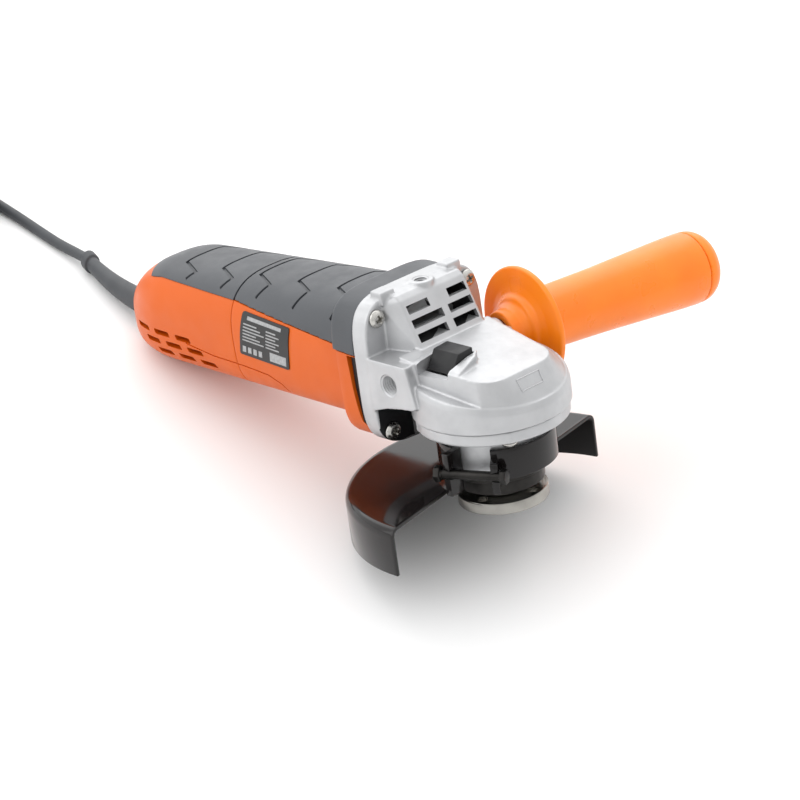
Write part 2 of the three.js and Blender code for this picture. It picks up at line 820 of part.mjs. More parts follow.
function strainRelief() {
  const end = bodyRear - reliefLength;
  const stations = [
    end, end + 4.9, end + 5.1, ...spread(end + 8, bodyRear, 5), bodyRear + 12,
  ];
  const boot = loft(stations, reliefSection, 12);
  const rib = bar(7.6, [bodyRear + 12, 0, reliefHeight], [bodyRear + 14, 0, reliefHeight], 12);
  return join(boot, rib);
}

// ---- side handle -----------------------------------------------------------------------------
// Built along +Z from the socket's face, then laid along the handle's axis.
function handleGrip() {
  const disc = handleDiscDistance;
  const end = handleLength;
  return turned([
    [6.2, 1],
    [9, 1],
    [9, disc - 5],
    [14, disc - 3.5],
    [handleDiscRadius, disc - 1.6],
    [handleDiscRadius, disc + 0.8],
    [14.4, disc + 2.4],
    [13.8, disc + 8],
    [14.6, disc + 40],
    [16.6, end - 12],
    [16.8, end - 2],
    [12.4, end - 2],
    [12.4, end - 12],
    [6.2, end - 12],
  ], 24);
}

function handleCap() {
  return turned([
    [0, handleLength - 9],
    [12, handleLength - 9],
    [12, handleLength - 1.7],
    [16.8, handleLength - 1.7],
    [15.6, handleLength + 3.4],
    [11, handleLength + 7.4],
    [0, handleLength + 9],
  ], 24);
}

function handleStud() {
  return turned([[0, -8], [4.1, -8], [4.1, 0.6], [5.9, 0.6], [5.9, 60], [0, 60]], 16);
}

function lockButton() {
  return sidePrism([[-8.7, 6.3], [6.7, 6.3], [6.7, 14], [-8.7, 14.6]], -22.4, -9.3);
}

// ---- assembly --------------------------------------------------------------------------------
const group = new THREE.Group();
const tool = new THREE.Group();
group.add(tool);

function add(parent, name, made, material) {
  const mesh = new THREE.Mesh(made.isBufferGeometry ? made : geometryOf(made), material);
  mesh.name = name;
  parent.add(mesh);
  return mesh;
}

// gear head
add(tool, "gear_housing", gearHousing(), castAluminium);
add(tool, "bearing_cover", bearingCover(), castAluminium);
add(tool, "bearing_retainer", bearingRetainer(), darkSteel);
add(tool, "bearing_plate", bearingPlate(), castAluminium);
corners.forEach(([y, z], i) => {
  const screw = panScrew(4, 2.4, 2.1, 20).rotate([0, 90, 0]);
  add(tool, `gear_case_screw_${i + 1}`, screw.translate([flangeFront + gap, y, z]), steel);
});
coverScrewAngles.forEach((angle, i) => {
  const [x, y] = polar(coverScrewCircle, angle);
  const screw = panScrew(3.6, 2, 2, 12).rotate([180, 0, 0]);
  add(tool, `cover_screw_${i + 1}`, screw.translate([x, y, coverBottom - gap]), steel);
});
const lowerBearing = ballBearing(15.8, 6, 10).translate([0, 0, -30.5]);
add(tool, "spindle_bearing", lowerBearing, steel);
add(tool, "spindle_bush", ring(7.1, 4.9, -1.2, 5.8), brass);
const frontBearing = ballBearing(13, 5.2, 8).rotate([0, 90, 0]).translate([-32.7, 0, 0]);
add(tool, "front_bearing", frontBearing, steel);
const rearBearing = ballBearing(11, 4, 7).rotate([0, 90, 0]).translate([-153.8, 0, 0]);
add(tool, "rear_bearing", rearBearing, steel);

// spindle and what turns with it
add(tool, "spindle", spindle(), steel);
add(tool, "crown_gear", crownGear(), darkSteel);
add(tool, "inner_flange", innerFlange(), darkSteel);
add(tool, "flange_nut", flangeNut(), steel);

// spindle lock
add(tool, "lock_button", lockButton(), blackPlastic);
const lockPin = bar(lockPinRadius, [lockPinX, lockPinY, -7.6], [lockPinX, lockPinY, 6]);
add(tool, "lock_pin", lockPin, steel);
const lockSpring = ring(2.8, 2.1, 2.3, 6, 16).translate([lockPinX, lockPinY, 0]);
add(tool, "lock_spring", lockSpring, steel);

// guard
add(tool, "guard", guard(), blackPaint);
add(tool, "clamp_band", clampBand(), blackPaint);
add(tool, "clamp_screw", clampScrew(), darkSteel);
add(tool, "clamp_nut", clampNut(), darkSteel);

// motor body
add(tool, "motor_housing", motorHousing(), orangePlastic);
add(tool, "rear_cover", rearCover(), orangePlastic);
add(tool, "grip_front", gripFront(), gripRubber);
add(tool, "grip_rear", gripRear(), gripRubber);
add(tool, "rating_label", ratingLabel(), labelFilm);
rearScrewPlaces.forEach((y, i) => {
  const screw = panScrew(3.2, 1.8, 1.4, 9).rotate([180, 0, 0]);
  add(tool, `rear_cover_screw_${i + 1}`, screw.translate([rearScrewX, y, -24.5]), steel);
});

// motor
add(tool, "stator", stator(), darkSteel);
add(tool, "field_coil_1", fieldCoil(90), copper);
add(tool, "field_coil_2", fieldCoil(270), copper);
add(tool, "armature_shaft", armatureShaft(), steel);
add(tool, "armature_core", armatureCore(), darkSteel);
add(tool, "commutator", commutator(), copper);
add(tool, "cooling_fan", coolingFan(), blackPlastic);
add(tool, "pinion", pinion(), darkSteel);
[-1, 1].forEach((side, i) => {
  add(tool, `brush_holder_${i + 1}`, brushHolder(side), brass);
  add(tool, `carbon_brush_${i + 1}`, carbonBrush(side), carbon);
});

// switch and lead entry
add(tool, "switch_slider", switchSlider(), blackPlastic);
add(tool, "switch_rod", switchRod(), blackPlastic);
add(tool, "switch_body", switchBody(), blackPlastic);
add(tool, "capacitor", capacitor(), labelFilm);
add(tool, "cord_clamp", cordClamp(), blackPlastic);
clampScrewPlaces.forEach((y, i) => {
  add(tool, `cord_clamp_screw_${i + 1}`, cordClampScrew(y), steel);
});
add(tool, "strain_relief", strainRelief(), cordRubber);

// side handle
const handle = new THREE.Group();
handle.position.set(socketX, farFace, 0);
handle.quaternion.setFromUnitVectors(new THREE.Vector3(0, 0, 1), handleAxis);
tool.add(handle);
add(handle, "side_handle", handleGrip(), handlePlastic);
add(handle, "handle_cap", handleCap(), handlePlastic);
add(handle, "handle_stud", handleStud(), steel);

// The tool is tipped into its resting attitude and stood on the floor, centred over the origin.
tool.rotation.set(
  THREE.MathUtils.degToRad(rollDegrees), THREE.MathUtils.degToRad(-pitchDegrees), 0, "YXZ",
);
tool.updateMatrixWorld(true);
const standing = new THREE.Box3();
for (const child of tool.children) {
  if (child.name !== "strain_relief") {
    standing.expandByObject(child, true);
  }
}
const footprint = standing.getCenter(new THREE.Vector3());
tool.position.set(-footprint.x, -footprint.y, -standing.min.z);

// ---- mains lead and plug, laid out on the floor ------------------------------------------------
const cordRoute = [
  [-187.6, -32.3, 5], [-193, -32.2, 4.5], [-199, -32, 3.9], [-205, -31.9, 3.3], [-211, -31.8, 2.9],
  [-217, -31.6, 2.75], [-223, -31.4, 2.7], [-229, -31.2, 2.7], [-235, -31, 2.7],
  [-241, -30.8, 2.7], [-247, -30.7, 2.7], [-253, -30.6, 2.7], [-259, -30.55, 2.7],
  [-265, -30.54, 2.7], [-271, -30.54, 2.7], [-277, -30.54, 2.7], [-283, -30.54, 2.7],
];
const coilOuter = coilMiddleRadius + ((coilColumns - 1) / 2) * turnPitch + cordRadius;
const coilInner = coilMiddleRadius - ((coilColumns - 1) / 2) * turnPitch - cordRadius;

function coilSpace() {
  const cylinder = bar(coilOuter + gap, [0, 0, -5], [0, 0, 40], 48);
  return cylinder.translate([coilCentre[0], coilCentre[1], 0]);
}

function cord() {
  const route = new THREE.CatmullRomCurve3(cordRoute.map((point) => new THREE.Vector3(...point)));
  const section = new THREE.Shape(
    arc(cordRadius, 0, 315, 7).map(([x, y]) => new THREE.Vector2(x, y)),
  );
  const tube = new THREE.ExtrudeGeometry(section, { steps: 16, extrudePath: route });
  return cut(solid(tube), coilSpace());
}

function cordCoil() {
  const top = 2 * cordRadius + (coilLayers - 1) * turnPitch + 0.1;
  return ring(coilOuter, coilInner, 0.1, top).translate([coilCentre[0], coilCentre[1], 0]);
}

// Two-pin plug with a moulded boot that meets the coil's last, uppermost turn.
function plug() {
  const axisY = coilCentre[1] + coilMiddleRadius + turnPitch;
  const face = -366;
  // place along X: half width, half height and middle height of the body there
  const sections = new Map([
    [face, [18, 12.6, plugHeight]],
    [-352, [18.5, 13, plugHeight]],
    [-333, [17, 11, plugHeight]],
    [-325, [9, 8, 13.4]],
    [-322, [5, 5, 14]],
    [-306, [3.8, 3.8, 17.4]],
    [-294, [3.2, 3.2, 18.8]],
  ]);
  const body = loft([...sections.keys()], (x) => {
    const [halfWidth, halfHeight, middle] = sections.get(x);
    return {
      halfWidth, top: middle + halfHeight, bottom: middle - halfHeight, power: 2.6, shift: axisY,
    };
  }, 20);
  const pins = [-0.5, 0.5].map((side) => {
    const y = axisY + side * plugPins.spacing;
    return bar(plugPins.radius, [face + 2, y, plugHeight], [face - plugPins.length, y, plugHeight], 12);
  });
  return cut(join(body, ...pins), coilSpace());
}

add(group, "cord", cord(), cordRubber);
add(group, "cord_coil", cordCoil(), cordRubber);
add(group, "plug", plug(), cordRubber);

export default group;
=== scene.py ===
"""Looks of the angle grinder: smooth, detailed pieces and procedural materials around the CAD frame.

Pieces are built in millimetres in the tool's own frame (origin where the spindle's axis meets the
motor's axis, X forward, Y towards the side handle, Z up the spindle) and then laid over the CAD.
"""
import json
import math

import bmesh
import bpy
from mathutils import Matrix, Quaternion, Vector
from mathutils.bvhtree import BVHTree


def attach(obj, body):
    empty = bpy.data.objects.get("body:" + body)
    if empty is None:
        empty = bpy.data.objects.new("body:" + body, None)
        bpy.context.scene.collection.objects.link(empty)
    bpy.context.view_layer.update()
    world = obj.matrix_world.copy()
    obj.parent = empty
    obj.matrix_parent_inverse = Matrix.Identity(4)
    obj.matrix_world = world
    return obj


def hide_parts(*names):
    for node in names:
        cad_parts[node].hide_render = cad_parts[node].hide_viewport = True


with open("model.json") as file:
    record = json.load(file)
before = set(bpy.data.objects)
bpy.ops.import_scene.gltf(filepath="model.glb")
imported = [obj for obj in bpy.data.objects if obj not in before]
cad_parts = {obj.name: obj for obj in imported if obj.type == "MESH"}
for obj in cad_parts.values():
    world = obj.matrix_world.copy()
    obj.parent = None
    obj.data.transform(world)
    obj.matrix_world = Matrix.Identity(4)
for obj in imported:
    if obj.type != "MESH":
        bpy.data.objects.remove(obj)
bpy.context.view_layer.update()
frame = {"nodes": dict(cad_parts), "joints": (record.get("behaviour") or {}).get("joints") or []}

# ---- driving dimensions, millimetres ---------------------------------------------------------
MM = 0.001
GAP = 0.3

# motor body
COLLAR_BACK = -60
COLLAR_FRONT = -45.3
SPLIT_X = -134
BODY_REAR = -229.5
CAP_START = 0.76  # share of the body's length where the rear cap begins
SHELL_INSET = 5.2
REAR_SCREW_X = -150
REAR_SCREW_SIDES = (-9, 9)
GRIP_DEPTH = 2.4
GRIP_PROUD = 0.25

# gear head
FLANGE_BACK = -45
FLANGE_FRONT = -36
SEAM_HEIGHT = -16
SCREW_Y = 26.7
SCREW_Z = 25.7
SOCKET_X = -24.7
NEAR_FACE = -34.4
FAR_FACE = 31
COVER_SCREW_ANGLES = (-32, 58, 148, 238)
COVER_SCREW_CIRCLE = 28.8
COVER_BOTTOM = -21.5
NECK_RADIUS = 23.2
NECK_BOTTOM = -40.6
LOCK_PIN = (-1, -12)  # x and y
TOP_BOSS = (-35, 0)
TOP_BOSS_HEIGHT = 34.9
TOWER_TOP = (-29, 31.3)  # ends of the slope that carries the air slots, x and z
TOWER_FOOT = (-18.8, 10.8)

# spindle end
RETAINER_RADIUS = 20.5
RETAINER_BOTTOM = -43.8
SEAT_RADIUS = 18.8
SEAT_HEIGHT = -50
NUT_RADIUS = 19.7
NUT_TOP = -53.6
NUT_BOTTOM = -58.8
PIN_HOLE_CIRCLE = 15.2
THREAD_RADIUS = 6.7
THREAD_ROOT = 5.9
THREAD_TOP = -44
SPINDLE_TIP = -59.6

# guard and clamp
GUARD_RADIUS = 67.5
GUARD_TOP = -46.9
GUARD_BOTTOM = -68.4
GUARD_SHEET = 1.6
GUARD_NEAR_CORNER = -87.3  # degrees from +X
GUARD_FAR_CORNER = 97.5
CLAMP_ANGLE = -67
CLAMP_BOLT = (28.8, -36)  # distance from the spindle's axis, and height

# side handle
HANDLE_AXIS = Vector((0.1, 1, -0.045)).normalized()
HANDLE_LENGTH = 112
DISC_DISTANCE = 15
DISC_RADIUS = 26.8

# lead
CORD_RADIUS = 2.6
CORD_OVERLAP = 3  # how far the cord runs on inside its boot
RELIEF_HEIGHT = -13
RELIEF_LENGTH = 59
RELIEF_COLLAR = 5  # length of the ring at the boot's end
TURN_PITCH = 5.36
COIL_COLUMNS = 3
COIL_LAYERS = 4
COIL_RADIUS = 26.5
COIL_CENTRE = (-286, -62.4)
PLUG_HEIGHT = 13.2
PLUG_Y = COIL_CENTRE[1] + COIL_RADIUS + TURN_PITCH

# ---- frames ----------------------------------------------------------------------------------
joints = {joint["name"]: joint for joint in frame["joints"]}
spindle_up = Vector(joints["spindle_spin"]["axis"]).normalized()
motor_forward = Vector(joints["armature_spin"]["axis"]).normalized()
tool_axes = Matrix((motor_forward, spindle_up.cross(motor_forward), spindle_up)).transposed()
tool_origin = Vector(joints["spindle_spin"]["pos_m"])
FLOOR = Matrix.Scale(MM, 4)
TOOL = Matrix.Translation(tool_origin) @ tool_axes.to_4x4() @ Matrix.Scale(MM, 4)


def pointing(direction):
    """The turn that takes the Z axis to a direction."""
    return Vector((0, 0, 1)).rotation_difference(Vector(direction)).to_matrix().to_4x4()


HANDLE = TOOL @ Matrix.Translation((SOCKET_X, FAR_FACE, 0)) @ pointing(HANDLE_AXIS)


# ---- material nodes --------------------------------------------------------------------------
def map_range(tree, pattern, ends):
    node = tree.nodes.new("ShaderNodeMapRange")
    for name, value in zip(("From Min", "From Max", "To Min", "To Max"), ends):
        node.inputs[name].default_value = value
    tree.links.new(pattern, node.inputs["Value"])
    return node.outputs["Result"]


PATTERN_ENDS = (0.3, 0.7)  # a noise pattern's usual lowest and highest values


class Finish:
    """A Principled material whose colour, roughness and relief vary over the surface."""

    def __init__(self, name, roughness, metallic=0.0):
        self.material = bpy.data.materials.new(name)
        self.material.use_nodes = True
        self.tree = self.material.node_tree
        self.shader = self.tree.nodes["Principled BSDF"]
        self.shader.inputs["Metallic"].default_value = metallic
        self.shader.inputs["Roughness"].default_value = roughness
        place = self.tree.nodes.new("ShaderNodeTexCoord").outputs["Object"]
        mapping = self.tree.nodes.new("ShaderNodeMapping")
        mapping.vector_type = "TEXTURE"
        mapping.inputs["Location"].default_value = tool_origin
        mapping.inputs["Rotation"].default_value = tool_axes.to_euler()
        mapping.inputs["Scale"].default_value = (MM, MM, MM)
        self.tree.links.new(place, mapping.inputs["Vector"])
        self.place = mapping.outputs["Vector"]

    def noise(self, size, detail=3, stretch=(1, 1, 1)):
        """Cloudy pattern whose features are about that many millimetres wide."""
        squeeze = self.tree.nodes.new("ShaderNodeMapping")
        squeeze.inputs["Scale"].default_value = stretch
        self.tree.links.new(self.place, squeeze.inputs["Vector"])
        node = self.tree.nodes.new("ShaderNodeTexNoise")
        node.inputs["Scale"].default_value = 1 / size
        node.inputs["Detail"].default_value = detail
        self.tree.links.new(squeeze.outputs["Vector"], node.inputs["Vector"])
        return node.outputs["Fac"]

    def rings(self, size):
        """Turning marks round the spindle's axis, that many millimetres apart."""
        node = self.tree.nodes.new("ShaderNodeTexWave")
        node.wave_type = "RINGS"
        node.rings_direction = "Z"
        node.inputs["Scale"].default_value = 1 / size
        node.inputs["Distortion"].default_value = 1.2
        node.inputs["Detail"].default_value = 2
        self.tree.links.new(self.place, node.inputs["Vector"])
        return node.outputs["Fac"]

    def colour(self, pattern, dark, light):
        ramp = self.tree.nodes.new("ShaderNodeValToRGB")
        for element, position, colour in zip(ramp.color_ramp.elements, PATTERN_ENDS, (dark, light)):
            element.position = position
            element.color = (*colour, 1)
        self.tree.links.new(pattern, ramp.inputs["Fac"])
        self.tree.links.new(ramp.outputs["Color"], self.shader.inputs["Base Color"])
        return self

    def vary_roughness(self, pattern, smooth, rough):
        result = map_range(self.tree, pattern, (*PATTERN_ENDS, smooth, rough))
        self.tree.links.new(result, self.shader.inputs["Roughness"])
        return self

    def relief(self, pattern, depth, strength=0.5):
        """Bump of that depth in millimetres."""
        bump = self.tree.nodes.new("ShaderNodeBump")
        bump.inputs["Strength"].default_value = strength
        bump.inputs["Distance"].default_value = depth * MM
        self.tree.links.new(pattern, bump.inputs["Height"])
        self.tree.links.new(bump.outputs["Normal"], self.shader.inputs["Normal"])
        return self

    def set(self, **sockets):
        for name, value in sockets.items():
            self.shader.inputs[name.replace("_", " ")].default_value = value
        return self


def orange_plastic():
    finish = Finish("orange_plastic", 0.42)
    finish.colour(finish.noise(40), (0.60, 0.096, 0.001), (0.66, 0.110, 0.002))
    finish.vary_roughness(finish.noise(9), 0.36, 0.48)
    finish.relief(finish.noise(0.45, 2), 0.05, 0.35)
    return finish.set(Specular_IOR_Level=0.35)


def handle_plastic():
    finish = Finish("handle_plastic", 0.3)
    finish.colour(finish.noise(30), (0.98, 0.2, 0.003), (1.0, 0.25, 0.006))
    finish.vary_roughness(finish.noise(12), 0.26, 0.36)
    return finish.relief(finish.noise(1.2, 2), 0.04, 0.25)


def black_plastic():
    finish = Finish("black_plastic", 0.42)
    finish.colour(finish.noise(6), (0.010, 0.010, 0.011), (0.017, 0.017, 0.018))
    finish.vary_roughness(finish.noise(4), 0.34, 0.46)
    finish.relief(finish.noise(0.35, 2), 0.05, 0.35)
    return finish.set(Specular_IOR_Level=0.3)


def grip_rubber():
    finish = Finish("grip_rubber", 0.5)
    finish.colour(finish.noise(28), (0.052, 0.056, 0.063), (0.070, 0.075, 0.083))
    finish.vary_roughness(finish.noise(7), 0.42, 0.54)
    return finish.relief(finish.noise(0.5, 3), 0.07, 0.5)


def cord_rubber():
    finish = Finish("cord_rubber", 0.55)
    finish.colour(finish.noise(20), (0.040, 0.043, 0.048), (0.056, 0.060, 0.066))
    finish.vary_roughness(finish.noise(5), 0.48, 0.62)
    return finish.relief(finish.noise(0.6, 3), 0.06, 0.4)


def cast_aluminium():
    finish = Finish("cast_aluminium", 0.42, 0.72)
    finish.colour(finish.noise(14, 4), (0.47, 0.475, 0.485), (0.54, 0.545, 0.555))
    finish.vary_roughness(finish.noise(3, 4), 0.36, 0.5)
    return finish.relief(finish.noise(0.8, 4), 0.09, 0.45)


def bright_steel():
    finish = Finish("bright_steel", 0.28, 1.0)
    finish.colour(finish.noise(5), (0.45, 0.44, 0.42), (0.56, 0.55, 0.52))
    finish.vary_roughness(finish.noise(1.5), 0.2, 0.34)
    return finish.relief(finish.noise(0.6, 3, (1, 1, 4)), 0.03, 0.3)


def turned_steel():
    finish = Finish("turned_steel", 0.26, 1.0)
    finish.colour(finish.noise(8), (0.30, 0.29, 0.27), (0.40, 0.39, 0.36))
    finish.vary_roughness(finish.rings(0.5), 0.18, 0.32)
    return finish.relief(finish.rings(0.45), 0.03, 0.4)


def dark_steel():
    finish = Finish("dark_steel", 0.38, 0.9)
    finish.colour(finish.noise(6), (0.020, 0.019, 0.018), (0.036, 0.034, 0.032))
    finish.vary_roughness(finish.noise(2), 0.3, 0.46)
    return finish.relief(finish.rings(0.6), 0.03, 0.3)


def guard_paint():
    finish = Finish("guard_paint", 0.1)
    finish.colour(finish.noise(35), (0.0065, 0.0055, 0.0055), (0.011, 0.009, 0.009))
    finish.vary_roughness(finish.noise(10), 0.07, 0.13)
    finish.relief(finish.noise(2.2, 2), 0.03, 0.2)
    return finish.set(Specular_IOR_Level=0.35)


def copper():
    finish = Finish("copper", 0.35, 1.0)
    finish.colour(finish.noise(3), (0.55, 0.22, 0.09), (0.72, 0.32, 0.15))
    finish.vary_roughness(finish.noise(2), 0.3, 0.45)
    return finish.relief(finish.noise(0.7, 2, (0.2, 1, 1)), 0.2, 0.7)


def carbon():
    finish = Finish("carbon", 0.8)
    finish.colour(finish.noise(1), (0.018, 0.018, 0.019), (0.034, 0.034, 0.035))
    finish.vary_roughness(finish.noise(2), 0.7, 0.85)
    return finish.relief(finish.noise(0.3, 3), 0.05, 0.6)


def label_film():
    finish = Finish("label_film", 0.4)
    finish.colour(finish.noise(10), (0.008, 0.0085, 0.009), (0.012, 0.013, 0.014))
    finish.vary_roughness(finish.noise(5), 0.34, 0.46)
    return finish.relief(finish.noise(1.5, 2), 0.02, 0.3)


def label_ink():
    finish = Finish("label_ink", 0.5)
    finish.colour(finish.noise(1.2), (0.28, 0.285, 0.29), (0.40, 0.405, 0.41))
    finish.vary_roughness(finish.noise(3), 0.44, 0.56)
    return finish.relief(finish.noise(0.5, 2), 0.01, 0.3)


def brass():
    finish = Finish("brass", 0.3, 1.0)
    finish.colour(finish.noise(4), (0.62, 0.42, 0.14), (0.74, 0.53, 0.22))
    finish.vary_roughness(finish.noise(2), 0.24, 0.38)
    return finish.relief(finish.noise(0.6, 3), 0.03, 0.3)


def floor_paper():
    finish = Finish("floor_paper", 0.55)
    finish.colour(finish.noise(300), (0.86, 0.86, 0.86), (0.90, 0.90, 0.90))
    finish.vary_roughness(finish.noise(80), 0.5, 0.6)
    return finish.relief(finish.noise(1.5, 2), 0.01, 0.1)


SLOT_MATERIALS = {
    make.__name__: make().material
    for make in (
        orange_plastic, handle_plastic, black_plastic, grip_rubber, cord_rubber, cast_aluminium,
        bright_steel, dark_steel, guard_paint, copper, carbon, label_film, brass,
    )
}
TURNED_STEEL = turned_steel().material
LABEL_INK = label_ink().material


# ---- mesh helpers ----------------------------------------------------------------------------
def spread(start, stop, steps):
    return [start + (stop - start) * i / steps for i in range(steps + 1)]


def polar(radius, degrees):
    angle = math.radians(degrees)
    return radius * math.cos(angle), radius * math.sin(angle)


def smooth_step(run):
    """From 0 to 1, level at both ends."""
    share = min(1, max(0, run))
    return share * share * (3 - 2 * share)


def link(name, data):
    thing = bpy.data.objects.new(name, data)
    bpy.context.scene.collection.objects.link(thing)
    return thing


def piece_from(mesh_data):
    bmesh.ops.recalc_face_normals(mesh_data, faces=mesh_data.faces)
    mesh = bpy.data.meshes.new("piece")
    mesh_data.to_mesh(mesh)
    mesh_data.free()
    return link("piece", mesh)


def skin_rings(rings, closed=False):
    """Joins rings of points, in order, into one closed solid."""
    mesh_data = bmesh.new()
    loops = [[mesh_data.verts.new(point) for point in ring] for ring in rings]
    pairs = list(zip(loops, loops[1:]))
    if closed:
        pairs.append((loops[-1], loops[0]))
    for one, other in pairs:
        for i in range(len(one)):
            after = (i + 1) % len(one)
            mesh_data.faces.new((one[i], one[after], other[after], other[i]))
    if not closed:
        mesh_data.faces.new(loops[0])
        mesh_data.faces.new(loops[-1])
    return piece_from(mesh_data)


def hull(points):
    mesh_data = bmesh.new()
    for point in points:
        mesh_data.verts.new(point)
    made = bmesh.ops.convex_hull(mesh_data, input=mesh_data.verts)
    inner = {element for element in made["geom_interior"] if isinstance(element, bmesh.types.BMVert)}
    bmesh.ops.delete(mesh_data, geom=list(inner), context="VERTS")
    return piece_from(mesh_data)


def box(x, y, z):
    return hull([(a, b, c) for a in x for b in y for c in z])


def prism(outline, low, high):
    """A flat outline of (x, y), raised from one height to the other."""
    return skin_rings([[(x, y, height) for x, y in outline] for height in (low, high)])


def side_prism(outline, start, stop):
    """An outline of (x, z), carried across from one y to the other."""
    return skin_rings([[(x, y, z) for x, z in outline] for y in (start, stop)])


def cross_prism(outline, back, front):
    """An outline of (y, z), carried forward from one x to the other."""
    return skin_rings([[(x, y, z) for y, z in outline] for x in (back, front)])


def rounded(outline, radius, steps=4):
    """The closed outline with its corners rounded. Points on the axis (first number 0) stay."""
    points = []
    count = len(outline)
    for i, here in enumerate(outline):
        corner = Vector(here)
        if corner.x == 0:
            points.append(corner)
            continue
        legs = [Vector(outline[(i + step) % count]) - corner for step in (-1, 1)]
        reach = min(radius, *(leg.length * 0.45 for leg in legs))
        start, stop = (corner + leg.normalized() * reach for leg in legs)
        for t in spread(0, 1, steps):
            points.append(start * (1 - t) ** 2 + corner * (2 * t * (1 - t)) + stop * t ** 2)
    return points


def lathe(profile, rounding=0.0, sides=96):
    """A closed profile of (radius, height), turned about the Z axis."""
    points = rounded(profile, rounding) if rounding else [Vector(point) for point in profile]
    mesh_data = bmesh.new()
    columns = []
    for point in points:
        if point.x < 1e-6:
            columns.append([mesh_data.verts.new((0, 0, point.y))] * sides)
            continue
        columns.append([
            mesh_data.verts.new((*polar(point.x, 360 * i / sides), point.y)) for i in range(sides)
        ])
    for one, other in zip(columns, columns[1:] + columns[:1]):
        for i in range(sides):
            after = (i + 1) % sides
            corners = dict.fromkeys((one[i], one[after], other[after], other[i]))
            if len(corners) > 2:
                mesh_data.faces.new(list(corners))
    return piece_from(mesh_data)


def moved(piece, matrix):
    piece.data.transform(matrix)
    return piece


def shifted(piece, x, y, z):
    return moved(piece, Matrix.Translation((x, y, z)))


def turned(piece, degrees, axis="Z"):
    return moved(piece, Matrix.Rotation(math.radians(degrees), 4, axis))


def lathe_x(profile, rounding=0.0, sides=96):
    """A closed profile turned about the motor's axis: heights become places along X."""
    return turned(lathe(profile, rounding, sides), 90, "Y")


def rod(radius, start, stop, sides=32, edge=0.0):
    start, stop = Vector(start), Vector(stop)
    length = (stop - start).length
    made = lathe([(0, 0), (radius, 0), (radius, length), (0, length)], edge, sides)
    return moved(made, Matrix.Translation(start) @ pointing(stop - start))


def upright(radius, x, y, low, high, sides=32, edge=0.0):
    return rod(radius, (x, y, low), (x, y, high), sides, edge)


def loft(stations, section, sides=120):
    """A body along X. stations are (x, inset) and section(x) gives half width, half height,
    middle height, sideways shift and the powers of its rounded-square outline, below and above."""
    rings = []
    for x, inset in stations:
        half_width, half_height, middle, shift, low_power, top_power = section(x)
        ring = []
        for i in range(sides):
            across, rise = polar(1, 360 * (i + 0.5) / sides)
            power = top_power if rise > 0 else low_power
            reach = (abs(across) ** power + abs(rise) ** power) ** (-1 / power)
            y = shift + (half_width - inset) * across * reach
            ring.append((x, y, middle + (half_height - inset) * rise * reach))
        rings.append(ring)
    return skin_rings(rings)


def eased(start, stop, steps, edge, inset=0.0):
    """Stations from start to stop whose two ends are rounded over by edge."""
    sign = 1 if stop > start else -1
    quarter = [(edge * (1 - math.sin(a)), edge * (1 - math.cos(a))) for a in spread(0, math.pi / 2, 4)]
    first = [(start + sign * run, inset + drop) for drop, run in quarter]
    last = [(stop - sign * run, inset + drop) for drop, run in reversed(quarter)]
    middle = [(x, inset) for x in spread(start + sign * edge, stop - sign * edge, steps)[1:-1]]
    return first + middle + last


def apply_modifiers(piece):
    graph = bpy.context.evaluated_depsgraph_get()
    mesh = bpy.data.meshes.new_from_object(piece.evaluated_get(graph))
    piece.modifiers.clear()
    piece.data = mesh
    return piece


def joined(*pieces):
    """Solids that don't touch, as one piece."""
    mesh_data = bmesh.new()
    for piece in pieces:
        mesh_data.from_mesh(piece.data)
        bpy.data.objects.remove(piece)
    return piece_from(mesh_data)


def boolean(base, tool, operation):
    modifier = base.modifiers.new("boolean", "BOOLEAN")
    modifier.operation = operation
    modifier.solver = "MANIFOLD"
    modifier.object = tool
    apply_modifiers(base)
    bpy.data.objects.remove(tool)
    if not base.data.polygons:
        raise RuntimeError(f"a {operation} left nothing")
    return base


def cut(base, *tools):
    for tool in tools:
        boolean(base, tool, "DIFFERENCE")
    return base


def fused(base, *others):
    for other in others:
        boolean(base, other, "UNION")
    return base


def shared(base, other):
    return boolean(base, other, "INTERSECT")


def bevelled(piece, width, segments=3, angle=35):
    modifier = piece.modifiers.new("bevel", "BEVEL")
    modifier.width = width
    modifier.segments = segments
    modifier.limit_method = "ANGLE"
    modifier.angle_limit = math.radians(angle)
    return apply_modifiers(piece)


def cast(piece, voxel, passes):
    """Melts the joins of a piece together, as in a casting or a moulding."""
    remesh = piece.modifiers.new("remesh", "REMESH")
    remesh.mode = "VOXEL"
    remesh.voxel_size = voxel
    smooth = piece.modifiers.new("smooth", "SMOOTH")
    smooth.factor = 0.5
    smooth.iterations = passes
    return apply_modifiers(piece)


def keep(piece, name, body, slot, nodes=(), place=TOOL, material=None, crease=35):
    """Lays a finished piece over the CAD, in metres, and gives it to a body."""
    piece.name = name
    piece.data.name = name
    piece.data.transform(place)
    piece.data.shade_smooth()
    piece.data.set_sharp_from_angle(angle=math.radians(crease))
    piece.data.materials.clear()
    piece.data.materials.append(material or SLOT_MATERIALS[slot])
    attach(piece, body)
    if nodes:
        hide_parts(*nodes)
    return piece


# ---- camera, floor and light -----------------------------------------------------------------
CAMERA_PLACE = Vector((0.8156, -0.8191, 0.8102))
CAMERA_AIM = Vector((0.0057, -0.0063, 0.0081))
CAMERA_ROLL = 1.56  # degrees
CAMERA_LENS = 137.7
BRIGHT_SIDE = Vector((-0.75, 0.35, 0.55)).normalized()
SKY_RANGE = (0.75, 1.4)  # strength on the darkest and on the brightest side


